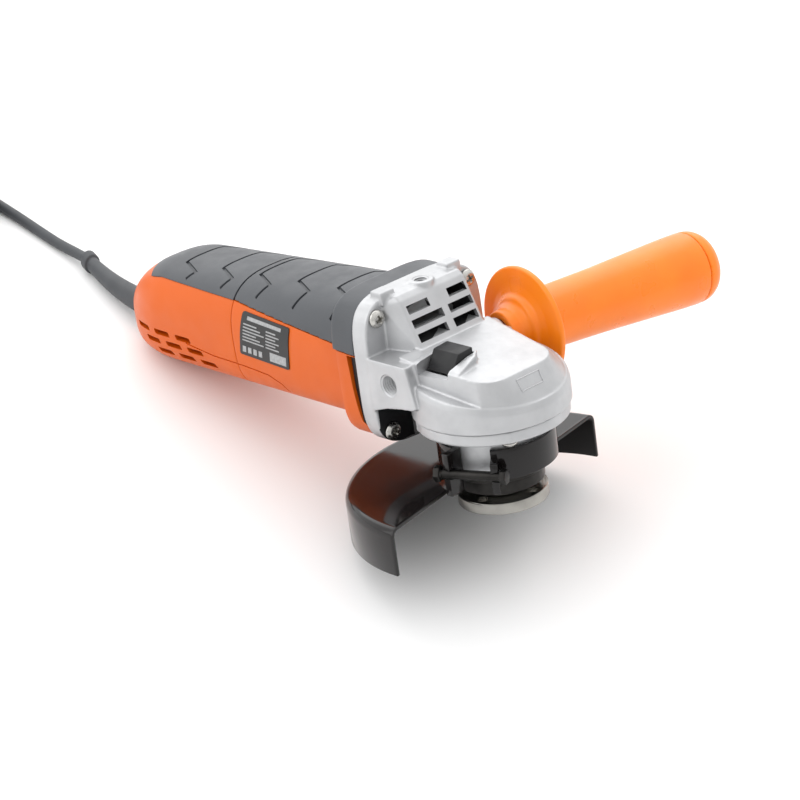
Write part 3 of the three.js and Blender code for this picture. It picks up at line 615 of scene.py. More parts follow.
def add_camera():
    data = bpy.data.cameras.new("camera")
    data.lens = CAMERA_LENS
    data.sensor_width = 36
    camera = link("camera", data)
    camera.rotation_mode = "QUATERNION"
    look = (CAMERA_AIM - CAMERA_PLACE).to_track_quat("-Z", "Y")
    camera.rotation_quaternion = look @ Quaternion((0, 0, 1), math.radians(CAMERA_ROLL))
    camera.location = CAMERA_PLACE
    bpy.context.scene.camera = camera


def add_floor():
    floor = prism([(-4, -4), (4, -4), (4, 4), (-4, 4)], -0.01, 0)
    floor.name = "floor"
    floor.data.materials.append(floor_paper().material)


def add_softbox(name, place, size, power):
    data = bpy.data.lights.new(name, "AREA")
    data.shape = "RECTANGLE"
    data.size, data.size_y = size
    data.energy = power
    light = link(name, data)
    light.location = place
    light.rotation_mode = "QUATERNION"
    light.rotation_quaternion = (-Vector(place)).to_track_quat("-Z", "Y")


def add_light():
    """A white studio, brightest behind the cord end, with a large soft light there and a weaker
    one on the near side."""
    world = bpy.data.worlds.new("studio")
    world.use_nodes = True
    tree = world.node_tree
    facing = tree.nodes.new("ShaderNodeVectorMath")
    facing.operation = "DOT_PRODUCT"
    facing.inputs[1].default_value = BRIGHT_SIDE
    tree.links.new(tree.nodes.new("ShaderNodeTexCoord").outputs["Generated"], facing.inputs[0])
    fade = map_range(tree, facing.outputs["Value"], (-0.8, 0.9, *SKY_RANGE))
    background = tree.nodes["Background"]
    background.inputs["Color"].default_value = (1, 1, 1, 1)
    tree.links.new(fade, background.inputs["Strength"])
    bpy.context.scene.world = world
    bpy.context.scene.view_settings.view_transform = "Standard"
    add_softbox("key_softbox", (-0.9, 0.55, 1.05), (1.9, 1.7), 9)
    add_softbox("left_softbox", (-0.7, -1.2, 0.8), (1.4, 1.2), 6)


# ---- lead ------------------------------------------------------------------------------------
CORD_ROUTE = [
    (-187.6, -32.3, 5), (-193, -32.2, 4.5), (-199, -32, 3.9), (-205, -31.9, 3.3),
    (-211, -31.8, 2.9), (-217, -31.6, 2.75), (-223, -31.4, 2.7), (-229, -31.2, 2.7),
    (-235, -31, 2.7), (-241, -30.8, 2.7), (-247, -30.7, 2.7), (-253, -30.6, 2.7),
    (-259, -30.55, 2.7), (-265, -30.54, 2.7), (-271, -30.54, 2.7), (-277, -30.54, 2.7),
    (-283, -30.54, 2.7),
]
TURN_STEPS = 32  # points in one turn
HALF_CROSSING = 18  # degrees, half the arc in which the cord changes column or layer


def winding():
    """Columns and layers of the turns, in the order in which they are wound."""
    places = []
    for layer in range(COIL_LAYERS):
        columns = range(COIL_COLUMNS)
        places.extend((column, layer) for column in (reversed(columns) if layer % 2 == 0 else columns))
    return places


def coil_points():
    """Twelve turns. Each crosses over to the next place in a short arc, later ones earlier."""
    places = winding()
    points = []
    lead = 0
    for turn, (column, layer) in enumerate(places):
        after = places[min(turn + 1, len(places) - 1)]
        climbs = after[1] != layer
        lead += 1 if climbs else 0
        crossing_end = 360 - HALF_CROSSING * (1 + lead)
        for step in range(TURN_STEPS):
            degrees = 360 * step / TURN_STEPS
            share = smooth_step((degrees - crossing_end) / (2 * HALF_CROSSING) + 1)
            radius = COIL_RADIUS + TURN_PITCH * (column - 1 + (after[0] - column) * share)
            height = CORD_RADIUS + 0.1 + TURN_PITCH * (layer + (after[1] - layer) * share)
            x, y = polar(radius, 90 + degrees)
            points.append((COIL_CENTRE[0] + x, COIL_CENTRE[1] + y, height))
        lead += 1 if climbs else 0
    return points


def cord_points():
    top = CORD_RADIUS + 0.1 + TURN_PITCH * (COIL_LAYERS - 1)
    tail = [(COIL_CENTRE[0] - run, PLUG_Y, top) for run in (0, 4, 8, 11)]
    return [Vector(point) * MM for point in CORD_ROUTE + coil_points() + tail]


def add_cord(plug, relief):
    points = cord_points()
    curve = bpy.data.curves.new("mains_cord", "CURVE")
    curve.dimensions = "3D"
    curve.bevel_depth = CORD_RADIUS * MM
    curve.bevel_resolution = 6
    curve.use_fill_caps = True
    inside_boot = points[0] + (points[0] - points[1]).normalized() * CORD_OVERLAP * MM
    spline = curve.splines.new("POLY")
    spline.points.add(len(points))
    for target, point in zip(spline.points, [inside_boot, *points]):
        target.co = (*point, 1)
    spline.use_smooth = True
    curve.materials.append(SLOT_MATERIALS["cord_rubber"])
    cord = link("mains_cord", curve)
    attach(cord, "tool_body")
    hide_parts("cord", "cord_coil")


def relief_section(x):
    share = max(0, (BODY_REAR - x) / RELIEF_LENGTH)
    taper = 6.4 - 2.7 * min(1, share * 1.1)
    radius = 4.8 if x < BODY_REAR - RELIEF_LENGTH + RELIEF_COLLAR else taper
    return radius, radius, RELIEF_HEIGHT + 10.9 * share ** 1.5, 8 * share ** 2, 2, 2


def strain_relief():
    end = BODY_REAR - RELIEF_LENGTH
    collar = eased(end, end + RELIEF_COLLAR - 0.01, 3, 0.7)
    boot = [(x, 0) for x in spread(end + RELIEF_COLLAR + GAP, BODY_REAR + 12, 30)]
    made = loft(collar + boot, relief_section, 48)
    rib = rod(7.6, (BODY_REAR + 12, 0, RELIEF_HEIGHT), (BODY_REAR + 14, 0, RELIEF_HEIGHT), 48, 0.4)
    return keep(fused(made, rib), "cord_boot", "tool_body", "cord_rubber", ["strain_relief"])


PLUG_SHAPE = [  # distance behind the coil's centre, half width, half height, middle height
    (8, 3.2, 3.2, 18.8), (20, 3.8, 3.8, 17.4), (36, 5, 5, 14), (39, 9, 8, 13.4),
    (47, 17, 11, 13.2), (66, 18.5, 13, 13.2), (80, 18, 12.6, 13.2),
]


def plug_section(x):
    """Smoothly between the listed sections of the plug's body."""
    run = COIL_CENTRE[0] - x
    for before, after in zip(PLUG_SHAPE, PLUG_SHAPE[1:]):
        if run <= after[0]:
            break
    share = smooth_step((run - before[0]) / (after[0] - before[0]))
    half_width, half_height, middle = (a + (b - a) * share for a, b in zip(before[1:], after[1:]))
    return half_width, half_height, middle, PLUG_Y, 2.6, 2.6


def plug_piece():
    tip = COIL_CENTRE[0] - PLUG_SHAPE[0][0]
    face = COIL_CENTRE[0] - PLUG_SHAPE[-1][0]
    body = loft(eased(tip, face, 60, 1.4), plug_section, 72)
    rings = [
        shifted(lathe_x([(2.9, -0.6), (9, -0.6), (9, 0.6), (2.9, 0.6)], 0, 48), x, PLUG_Y, middle)
        for x, middle in ((x, plug_section(x)[2]) for x in spread(tip - 5, tip - 25, 5))
    ]
    cut(body, joined(*rings))
    pins = []
    for side in (-1, 1):
        y = PLUG_Y + 9.5 * side
        pins.append(rod(2.4, (face + 2, y, PLUG_HEIGHT), (face - 19, y, PLUG_HEIGHT), 32, 1.2))
        cut(body, rod(2.5, (face + 6, y, PLUG_HEIGHT), (face - 5, y, PLUG_HEIGHT)))
    keep(joined(*pins), "plug_pins", "tool_body", "bright_steel", (), FLOOR)
    return keep(body, "plug_body", "tool_body", "cord_rubber", ["plug"], FLOOR)


# ---- motor body ------------------------------------------------------------------------------
def body_section(x):
    along = min(1, max(0, (COLLAR_BACK - x) / (COLLAR_BACK - BODY_REAR)))
    into_cap = max(0, (along - CAP_START) / (1 - CAP_START))
    shrink = math.sqrt(1 - (0.95 * into_cap) ** 2)
    middle = 0.1 - 4.8 * along - 7.6 * into_cap ** 2
    return (30.5 - 4 * along) * shrink, (28.4 - 4.6 * along) * shrink, middle, 0, 3.4, 2.7


def collar_section(x):
    return 33.6, 33, 0.2, 0, 4.6, 4.3


def body_skin(inset, rear, front, edge=0.02):
    return loft(eased(rear, front, 56, edge, inset), body_section)


def collar_skin(inset, back, front, edge=0.02, back_edge=None):
    stations = eased(back, front, 8, edge, inset)
    if back_edge:
        stations = [(back, inset + back_edge), (back + back_edge * 0.8, inset + 0.3)] + [
            (x, drop) for x, drop in stations if x > back + back_edge
        ]
    return loft(stations, collar_section)


GRIP_LINE = [(-30, 8), (-62, 10.2), (-134, 15.8), (-190, 16), (-200, 14.5), (-208, 14)]
GRIP_END = -205.5


def grip_region(lowering, rear, front):
    """The space above the line between rubber and plastic. Its rear end is round in plan."""
    line = [(x, z - lowering) for x, z in GRIP_LINE] + [(-208, 60), (-30, 60)]
    tongue = [(GRIP_END + 14 * (1 - math.sqrt(1 - (y / 24) ** 2)), y) for y in spread(-24, 24, 24)]
    plan = prism(tongue + [(GRIP_END + 14, 60), (-30, 60), (-30, -60), (GRIP_END + 14, -60)], -80, 80)
    region = shared(side_prism(line, -60, 60), plan)
    return shared(region, box((rear, front), (-80, 80), (-80, 80)))


def grip_core(inset, step):
    return fused(
        body_skin(inset, SPLIT_X - 4, COLLAR_BACK + 4), collar_skin(inset, step, COLLAR_FRONT + 2),
    )


def switch_slot():
    return box((-107, -89), (17, 50), (10.8, 15.4))


def case_screw_holes(front=-44):
    return joined(*(
        rod(2.4, (-58, y, z), (front, y, z), 20) for y in (-SCREW_Y, SCREW_Y) for z in (-SCREW_Z, SCREW_Z)
    ))


def band(points, width):
    """Outline of a strip of that width along a line of flat points."""
    points = [Vector(point) for point in points]
    outline = [[], []]
    for i, point in enumerate(points):
        before = points[max(0, i - 1)]
        after = points[min(len(points) - 1, i + 1)]
        normals = [
            Vector((-leg.y, leg.x)).normalized()
            for leg in (point - before, after - point) if leg.length > 0
        ]
        normal = sum(normals, Vector((0, 0))).normalized()
        reach = width / 2 / max(0.5, normal.dot(normals[0]))
        outline[0].append(point + normal * reach)
        outline[1].append(point - normal * reach)
    return outline[0] + outline[1][::-1]


TONGUE_LINE = [(-171, -11), (-151, -13.3), (-129, -13.7), (-113, -14.8), (-105.4, -18), (-103, -22)]
LINE_WIDTH = 0.7
LINE_DEPTH = 0.5


def engrave_tongue(made):
    """The fine line low on both sides of the body."""
    for side in (-1, 1):
        wall = side_prism(band(TONGUE_LINE, LINE_WIDTH), side * 60, side * 12)
        cut(made, cut(wall, body_skin(LINE_DEPTH, SPLIT_X - 50, COLLAR_BACK)))


def collar_recess(side):
    """Joint between the orange collar and the flange, widest at the middle; its darkness is painted shade
    laid in its bottom.
    """
    outline = [(-45, 8.6), (-50.6, 8.6), (-49.4, -6), (-47.2, -22), (-45, -23.5)]
    return side_prism(outline, side * 50, side * 30.2)


def paint_collar_recess_shade():
    """Painted shade: a black piece at the bottom of each recess, standing in for the shadow in the joint.
    """
    recess_shade_pieces = joined(*(shared(collar_recess(side), box((-49.4, -45.4), (-31.9, 31.9), (-40, 8.4)))
                     for side in (-1, 1)))
    # the black pieces are painted shade, not a part of the tool
    keep(recess_shade_pieces, "collar_recess_shade", "tool_body", "black_plastic")


def motor_housing():
    made = fused(
        body_skin(0, SPLIT_X, COLLAR_BACK + 3, 0.35),
        collar_skin(0, COLLAR_BACK + 0.6, COLLAR_FRONT, 0.3, 2.2),
    )
    cut(made, collar_recess(-1), collar_recess(1))
    engrave_tongue(made)
    cut(
        made,
        cut(grip_region(GAP, SPLIT_X - 1, COLLAR_FRONT + 1), grip_core(GRIP_DEPTH, COLLAR_BACK + 2.3)),
        body_skin(SHELL_INSET, SPLIT_X - 2, COLLAR_BACK - 4),
        lathe_x([(0, -70), (25.5, -70), (27.5, -44), (0, -44)]),
        rod(22.3, (-120, 0, 0), (-64, 0, 0), 96),
        case_screw_holes(),
        switch_slot(),
    )
    wall = lathe_x([
        (15.6, SPLIT_X), (17.8, SPLIT_X), (17.8, SPLIT_X - 27), (7, SPLIT_X - 27), (7, SPLIT_X - 24),
        (11.3, SPLIT_X - 24), (11.3, SPLIT_X - 14.5), (15.6, SPLIT_X - 14.5),
    ])
    web = cut(loft([(SPLIT_X, 0), (SPLIT_X + 3, 0)], lambda x: (24.5, 22, -1.7, 0, 3.4, 3)),
              rod(15.8, (SPLIT_X - 1, 0, 0), (SPLIT_X + 4, 0, 0), 96))
    fused(made, web, wall)
    keep(made, "housing_front", "tool_body", "orange_plastic", ["motor_housing"])


VENT_FIRST = (-205, -9.5)  # x and z of the uppermost, rearmost slot
VENT_ROW_STEP = (7.5, -4.9)
VENT_COLUMN_STEP = 16


def rear_vents(side):
    slots = []
    for row in range(3):
        for column in range(3):
            x = VENT_FIRST[0] + VENT_ROW_STEP[0] * row + VENT_COLUMN_STEP * column
            z = VENT_FIRST[1] + VENT_ROW_STEP[1] * row
            outline = rounded([(x - 6, z + 1.3), (x - 5, z - 1.3), (x + 6, z - 1.3), (x + 5, z + 1.3)], 1)
            slots.append(side_prism(outline, side * 40, side * 12))
    return joined(*slots)


def rear_cover():
    made = body_skin(0, BODY_REAR, SPLIT_X - GAP, 0.35)
    engrave_tongue(made)
    cut(
        made,
        body_skin(SHELL_INSET, BODY_REAR + 10, SPLIT_X + 1),
        cut(grip_region(GAP, BODY_REAR - 1, SPLIT_X + 1), body_skin(GRIP_DEPTH, BODY_REAR, SPLIT_X + 1)),
        rod(6.9, (BODY_REAR - 2, 0, RELIEF_HEIGHT), (BODY_REAR + 16, 0, RELIEF_HEIGHT), 48),
        rear_vents(-1),
        rear_vents(1),
    )
    for y in REAR_SCREW_SIDES:
        cut(made, upright(1.9, REAR_SCREW_X, y, -40, -20), upright(3.7, REAR_SCREW_X, y, -40, -24.2))
    keep(made, "housing_rear", "tool_body", "orange_plastic", ["rear_cover"])


TREAD_FIRST = -182.3
TREAD_SPACING = 26.4
TREAD_WIDTH = 1.5
TREAD_DEPTH = 0.7


def tread(index):
    """One zigzag groove, seen from above: straight across the top, then forward and across."""
    x = TREAD_FIRST + TREAD_SPACING * index
    end = 20.5 + 1.4 * index
    half = [(x + 9.5, -end), (x + 12.5, -16.5), (x, -11)]
    path = half + [(px, -py) for px, py in reversed(half)]
    return prism(band(path, TREAD_WIDTH), 0, 60)


def grip(name, node, made, treads):
    for index in treads:
        cut(made, cut(tread(index), body_skin(TREAD_DEPTH, BODY_REAR, COLLAR_BACK)))
    keep(made, name, "tool_body", "grip_rubber", [node], crease=40)


def grips():
    region = grip_region(0, SPLIT_X + 0.2, COLLAR_FRONT)
    front = fused(
        body_skin(-GRIP_PROUD, SPLIT_X - 2, COLLAR_BACK + 3),
        collar_skin(-GRIP_PROUD, COLLAR_BACK, COLLAR_FRONT, 0.3, 1.2),
    )
    cut(shared(front, region), grip_core(GRIP_DEPTH - GAP, COLLAR_BACK + 2))
    cast(front, 0.5, 3)
    cut(front, switch_slot(), case_screw_holes())
    grip("grip_pad_front", "grip_front", front, (2, 3, 4))
    rear = shared(
        body_skin(-GRIP_PROUD, BODY_REAR, SPLIT_X + 2),
        grip_region(0, BODY_REAR, SPLIT_X - GAP - 0.2),
    )
    cut(rear, body_skin(GRIP_DEPTH - GAP, BODY_REAR, SPLIT_X + 3))
    grip("grip_pad_rear", "grip_rear", rear, (0, 1))


LABEL_CORNERS = [(-125.4, 13.1), (-92.5, 11.4), (-95.6, -8.6), (-129.6, -7.3)]
LABEL_ROWS = 6


def label_point(along, down):
    """A place on the label, both measured from 0 to 1."""
    top_left, top_right, bottom_right, bottom_left = (Vector(corner) for corner in LABEL_CORNERS)
    return top_left.lerp(top_right, along).lerp(bottom_left.lerp(bottom_right, along), down)


def label_patch(left, right, top, bottom):
    corners = [(left, top), (right, top), (right, bottom), (left, bottom)]
    return side_prism([label_point(*corner) for corner in corners], -50, -10)


def film(area, inner, outer):
    """The part of a thin layer on the body's skin that lies inside the area."""
    layer = cut(body_skin(-outer, SPLIT_X, COLLAR_BACK), body_skin(-inner, SPLIT_X - 1, COLLAR_BACK + 1))
    return shared(layer, area)


def rating_label():
    outline = rounded([label_point(*corner) for corner in ((0, 0), (1, 0), (1, 1), (0, 1))], 1.2)
    plate = film(side_prism(outline, -50, -10), 0.1, 0.5)
    keep(plate, "label_plate", "tool_body", "label_film", ["rating_label"])
    bars = [label_patch(0.12, 0.84, 0.07, 0.15)]
    for row in range(LABEL_ROWS):
        top = 0.24 + 0.075 * row
        bars.append(label_patch(0.06, 0.34 + 0.08 * (row % 3), top, top + 0.03))
        bars.append(label_patch(0.54, 0.74 + 0.07 * (row % 2), top, top + 0.03))
    bars.extend(label_patch(0.06 + 0.11 * i, 0.13 + 0.11 * i, 0.78, 0.92) for i in range(4))
    bars.append(label_patch(0.62, 0.95, 0.72, 0.93))
    print_layer = film(joined(*bars), 0.45, 0.58)
    keep(print_layer, "label_bars", "tool_body", "label_film", (), TOOL, LABEL_INK)


# ---- gear head -------------------------------------------------------------------------------
COVER_SCREWS = [polar(COVER_SCREW_CIRCLE, angle) for angle in COVER_SCREW_ANGLES]
BUTTON_ENDS = (-10.6, 4.6)  # the lock button along the head
POCKET_ENDS = (-11.1, 5.1)


def flange_section(x):
    return 34.2, 33.9, 0.5, 0, 4.6, 4.6


def crease(x):
    """Height of the edge between the nose's round wall and the steep band above it."""
    return -0.6 - 0.17 * x


def nose():
    """Round wall, then a steep band up to the sloping, nearly rectangular deck."""
    lower = []
    for radius, drop in ((34.2, 2.8), (33.4, 0)):
        for angle in spread(0, 357.5, 143):
            x, y = polar(radius, angle)
            lower += [(x, y, crease(x) - drop), (x, y, SEAM_HEIGHT + 0.1)]
    corner = 11
    deck = [(-22, 23.5), (-22, -29.5), (-13, -29.5)]
    for centre, start in (((15, -14.5), -90), ((15, 7), 0)):
        for angle in spread(start, start + 90, 8):
            x, y = polar(corner, angle)
            deck.append((centre[0] + x, centre[1] + y))
    upper = [(x, y, 9.4 - 0.12 * x) for x, y in deck]
    upper += [(x, -27.6 + 0.143 * x, crease(x) - 2) for x in (-13, 18)]
    upper += [(*polar(33, angle), crease(polar(33, angle)[0]) - 1) for angle in spread(-50, 140, 76)]
    return fused(hull(lower), hull(upper))


def tower():
    """The raised air duct behind the deck: its near side spreads to the rear, and the far front
    edge is chamfered."""
    front = [(-18.8, -1), TOWER_FOOT, TOWER_TOP, (-31.5, 33.4), (-40, 34.2)]
    near, far, root, reach = -18.2, 20.5, -23, 1.8
    points = [(x, y, z) for x, z in front for y in (near, far)]
    points += [(x, root, z) for x in (-37, -40) for z in (-1, 30)] + [(-40, far, -1)]
    made = hull(points)
    for ends in zip(front, front[1:]):
        cut(made, hull([
            point for x, z in ends
            for point in (
                (x, far + 0.1 - reach, z + 0.1), (x - reach, far + 0.1, z - reach * 0.5),
                (x + 9, far + 4, z + 4),
            )
        ]))
    return made


def bezel():
    """The raised rim round the lock button."""
    top = [(-12, -8.6, 13.2), (4.6, -8.8, 12.9), (8, -13, 12.4), (10.5, -25.4, 9),
           (-13.6, -28.2, 11.2), (-14.4, -13, 12.8)]
    foot = [(x, y, 6) for x, y, z in top]
    return hull(top + foot)


def button_opening():
    """The rim and the deck's edge are open on the near side of the button."""
    outline = [(-19.5, 20), (-20, 12.4), (-24.4, 6.4), (-40, 4.6), (-40, 20)]
    return cross_prism(outline, *POCKET_ENDS)


DUCT = [(-46, 14), (-22.5, 14), (-30, 29), (-43.5, 29), (-43.5, 24), (-46, 24)]
SLOT_HEIGHT = 3.5
HEAD_SLOTS = {  # share of the way down the slope: the two slots' ends, across
    0.2: ((-16.3, -4), (7.2, 17.6)),
    0.48: ((-16.8, 1), (4.5, 18)),
    0.76: ((-16.8, 0), (4, 17.6)),
}


def head_slots():
    slots = []
    for row, spans in HEAD_SLOTS.items():
        middle = Vector(TOWER_TOP).lerp(Vector(TOWER_FOOT), row)
        for start, stop in spans:
            height = (middle.y - SLOT_HEIGHT / 2, middle.y + SLOT_HEIGHT / 2)
            slots.append(bevelled(box((middle.x - 6, middle.x + 5), (start, stop), height), 0.35, 2))
    return joined(*slots)


def thread_cutter(radius, start, direction, turns):
    """A tapped hole: a bore with the ridges of its thread."""
    pitch = 1.25
    profile = [(0, -2), (radius + 0.7, -2), (radius + 0.7, 0), (radius + 0.3, 0.5)]
    for i in range(turns):
        profile += [(radius - 0.25, 0.6 + pitch * i), (radius + 0.35, 0.6 + pitch * (i + 0.5))]
    profile += [(radius - 0.25, 0.6 + pitch * turns), (0, 0.6 + pitch * turns)]
    return moved(lathe(profile, 0, 48), Matrix.Translation(start) @ pointing(direction))


def head_casting():
    flange = loft(eased(FLANGE_BACK, FLANGE_FRONT, 4, 0.8), flange_section)
    pad = side_prism(
        [(-37, 10), (-13.3, 10), (-9.2, -7.8), (-12, -9.2), (-18, -9.6), (-28, -11.2), (-37, -14)],
        NEAR_FACE, -20,
    )
    boss_inner = Vector((SOCKET_X, FAR_FACE, 0)) - HANDLE_AXIS * 12
    casting = fused(
        nose(),
        flange,
        box((-38, -8), (-28, 24), (-11, 9.4)),
        box((-38, 0), (-20, 20), (SEAM_HEIGHT + 0.1, -11)),
        tower(),
        pad,
        rod(7.8, boss_inner, (SOCKET_X, FAR_FACE, 0), 64, 0.8),
        bezel(),
    )
    for y in (-19.5, 19.5):
        fused(casting, bevelled(box((-41.5, -34.5), (y - 4, y + 4), (30, 36)), 0.5, 2))
    top_boss = lathe([(0, 31), (5.8, 31), (5.8, TOP_BOSS_HEIGHT), (0, TOP_BOSS_HEIGHT)], 0.5)
    fused(casting, shifted(top_boss, *TOP_BOSS, 0))
    return cast(casting, 0.45, 4)


def gear_housing():
    made = head_casting()
    cut(
        made,
        lathe([(7.3, -17), (24, -17), (24, -1.5), (7.3, -1.5)]),
        lathe([(0, -17), (7.4, -17), (7.4, 6.1), (0, 6.1)]),
        lathe_x([(0, -40), (8.4, -40), (8.4, -12.8), (0, -12.8)]),
        lathe_x([(0, -46), (13.3, -46), (13.3, -28.4), (0, -28.4)]),
        lathe_x([(0, -46), (24.9, -46), (24.9, -37), (0, -37)]),
        side_prism(DUCT, -16.9, 18.1),
        bevelled(box(POCKET_ENDS, (-25, -10.5), (2, 20)), 0.5, 2),
        button_opening(),
        upright(2.2, *LOCK_PIN, -3, 8),
        head_slots(),
        thread_cutter(4.5, (SOCKET_X, NEAR_FACE, 0), (0, 1, 0), 7),
        thread_cutter(4.5, (SOCKET_X, FAR_FACE, 0), -HANDLE_AXIS, 6),
        thread_cutter(3, (*TOP_BOSS, TOP_BOSS_HEIGHT), (0, 0, -1), 3),
        case_screw_holes(-35),
    )
    for x, y in COVER_SCREWS:
        cut(made, upright(2.3, x, y, -17, -7, 20))
    keep(made, "head_casting", "tool_body", "cast_aluminium", ["gear_housing"], crease=50)
    paint_hollow_shade(made)
    return made


def paint_hollow_shade(casting):
    """Painted shade: the faces inside the air duct behind the slots and in the pockets of the lower case
    screws get the black plastic, standing in for the shade in these hollows.
    """
    casting.data.materials.append(SLOT_MATERIALS["black_plastic"])
    to_tool = TOOL.inverted()
    top, foot = Vector(TOWER_TOP), Vector(TOWER_FOOT)
    lean = (foot.x - top.x) / (top.y - foot.y)
    for face in casting.data.polygons:
        x, y, z = to_tool @ face.center
        behind_front = foot.x - lean * (z - foot.y) - x
        in_duct = behind_front > 0.5 and -17.5 < y < 19 and 8 < z < 30
        beside_nose = -37 < x < -18 and math.hypot(x, y) > 34.6
        in_pocket = beside_nose and 14 < abs(y) < 32.6 and -32 < z < -10.6
        # faces in the duct or the pockets take the black plastic as painted shade
        if in_duct or in_pocket:
            face.material_index = 1


def nose_mark(casting):
    """A slim raised frame cast into the chamfer of the nose."""
    places = [vertex.co for vertex in casting.data.vertices]
    tree = BVHTree.FromPolygons(places, [face.vertices for face in casting.data.polygons])
    corners = [(27.2, -9.6), (27.2, 3.6), (29.6, 3.2), (29.6, -9)]
    path = []
    for before, after in zip(corners, corners[1:] + corners[:1]):
        path += [Vector(before).lerp(Vector(after), share) for share in spread(0, 1, 8)[:-1]]
    rings = []
    for i, point in enumerate(path):
        high = TOOL @ Vector((point.x, point.y, 40))
        hit, normal, _, _ = tree.ray_cast(high, -spindle_up)
        side = (path[(i + 1) % len(path)] - path[i - 1]).normalized()
        along = (tool_axes @ Vector((side.x, side.y, 0))).normalized()
        across = along.cross(normal).normalized()
        rings.append([
            hit + (across * x + normal * y) * 0.34 * MM for x, y in (polar(1, 30 * k) for k in range(12))
        ])
    mark = skin_rings(rings, closed=True)
    keep(mark, "nose_mark", "tool_body", "cast_aluminium", (), Matrix.Identity(4))


def bearing_cover():
    made = lathe([
        (16.1, SEAM_HEIGHT - 0.25), (33, SEAM_HEIGHT - 0.25), (33, COVER_BOTTOM),
        (NECK_RADIUS + 1, COVER_BOTTOM), (NECK_RADIUS, COVER_BOTTOM - 1.5), (NECK_RADIUS, NECK_BOTTOM),
        (10, NECK_BOTTOM), (10, -36), (16.1, -36),
    ], 0.5, 144)
    for x, y in COVER_SCREWS:
        fused(made, upright(4.6, x, y, COVER_BOTTOM, SEAM_HEIGHT - 0.4, 40, 0.4))
    for offset in (-9, 9, 100, 150, 200, 250):
        rib = hull([
            (NECK_RADIUS - 1, y, z) for y in (-0.9, 0.9) for z in (COVER_BOTTOM + 0.5, -26)
        ] + [(NECK_RADIUS + 3.6, y, COVER_BOTTOM + 0.5) for y in (-0.9, 0.9)])
        fused(made, turned(rib, CLAMP_ANGLE + offset))
    cast(made, 0.5, 2)
    for x, y in COVER_SCREWS:
        cut(made, upright(2.3, x, y, -23, -15, 20))
    keep(made, "cover_casting", "tool_body", "cast_aluminium", ["bearing_cover"], crease=50)


def pan_screw(head_radius, head_height, shank_radius, length):
    """Screw along +Z: shank below zero, domed head with a cross recess above."""
    made = lathe([
        (0, -length), (shank_radius, -length), (shank_radius, 0), (head_radius, 0),
        (head_radius, head_height * 0.35), (head_radius * 0.72, head_height * 0.92), (0, head_height),
    ], head_height * 0.22, 48)
    for angle in (20, 110):
        reach = head_radius * 0.55
        wide, deep = head_radius * 0.16, head_height * 0.75
        bar = hull(
            [(x, y, head_height + 0.2) for x in (-reach, reach) for y in (-wide, wide)]
            + [(x * 0.45, y * 0.6, head_height - deep) for x in (-reach, reach) for y in (-wide, wide)]
        )
        cut(made, turned(bar, angle))
    return made


def case_screws():
    places = [(y, z) for z in (SCREW_Z, -SCREW_Z) for y in (-SCREW_Y, SCREW_Y)]
    for i, (y, z) in enumerate(places, 1):
        screw = shifted(turned(pan_screw(4, 2.4, 2.1, 20), 90, "Y"), FLANGE_FRONT + GAP, y, z)
        keep(screw, f"case_screw_{i}", "tool_body", "bright_steel", [f"gear_case_screw_{i}"])


def small_screws():
    for i, (x, y) in enumerate(COVER_SCREWS, 1):
        screw = shifted(turned(pan_screw(3.6, 2, 2, 12), 180, "X"), x, y, COVER_BOTTOM - GAP)
        keep(screw, f"cover_fixing_{i}", "tool_body", "bright_steel", [f"cover_screw_{i}"])
    for i, y in enumerate(REAR_SCREW_SIDES, 1):
        screw = shifted(turned(pan_screw(3.2, 1.8, 1.4, 9), 180, "X"), REAR_SCREW_X, y, -24.5)
        keep(screw, f"rear_fixing_{i}", "tool_body", "bright_steel", [f"rear_cover_screw_{i}"])


def lock_button():
    """The button's cap, hollow below, where the lock spring stands."""
    outline = [(-11, 6.4), (-11, 15), (-19.2, 14.5), (-24.2, 7), (-24.2, 6.4)]
    made = bevelled(cross_prism(outline, *BUTTON_ENDS), 0.7, 3)
    cut(made, upright(3.4, *LOCK_PIN, 4, 10.6))
    keep(made, "lock_button_cap", "lock_plunger", "black_plastic", ["lock_button"])


def switch_slider():
    plate = bevelled(box((-109, -87), (30.9, 33.1), (4.5, 15.5)), 0.8, 3)
    for x in spread(-105, -91, 5):
        fused(plate, bevelled(box((x - 0.7, x + 0.7), (32.4, 34.2), (6, 14)), 0.4, 2))
    leg = box((-106, -96.5), (23.6, 31.4), (11.2, 15))
    keep(fused(plate, leg), "slide_switch", "switch_slide", "black_plastic", ["switch_slider"])


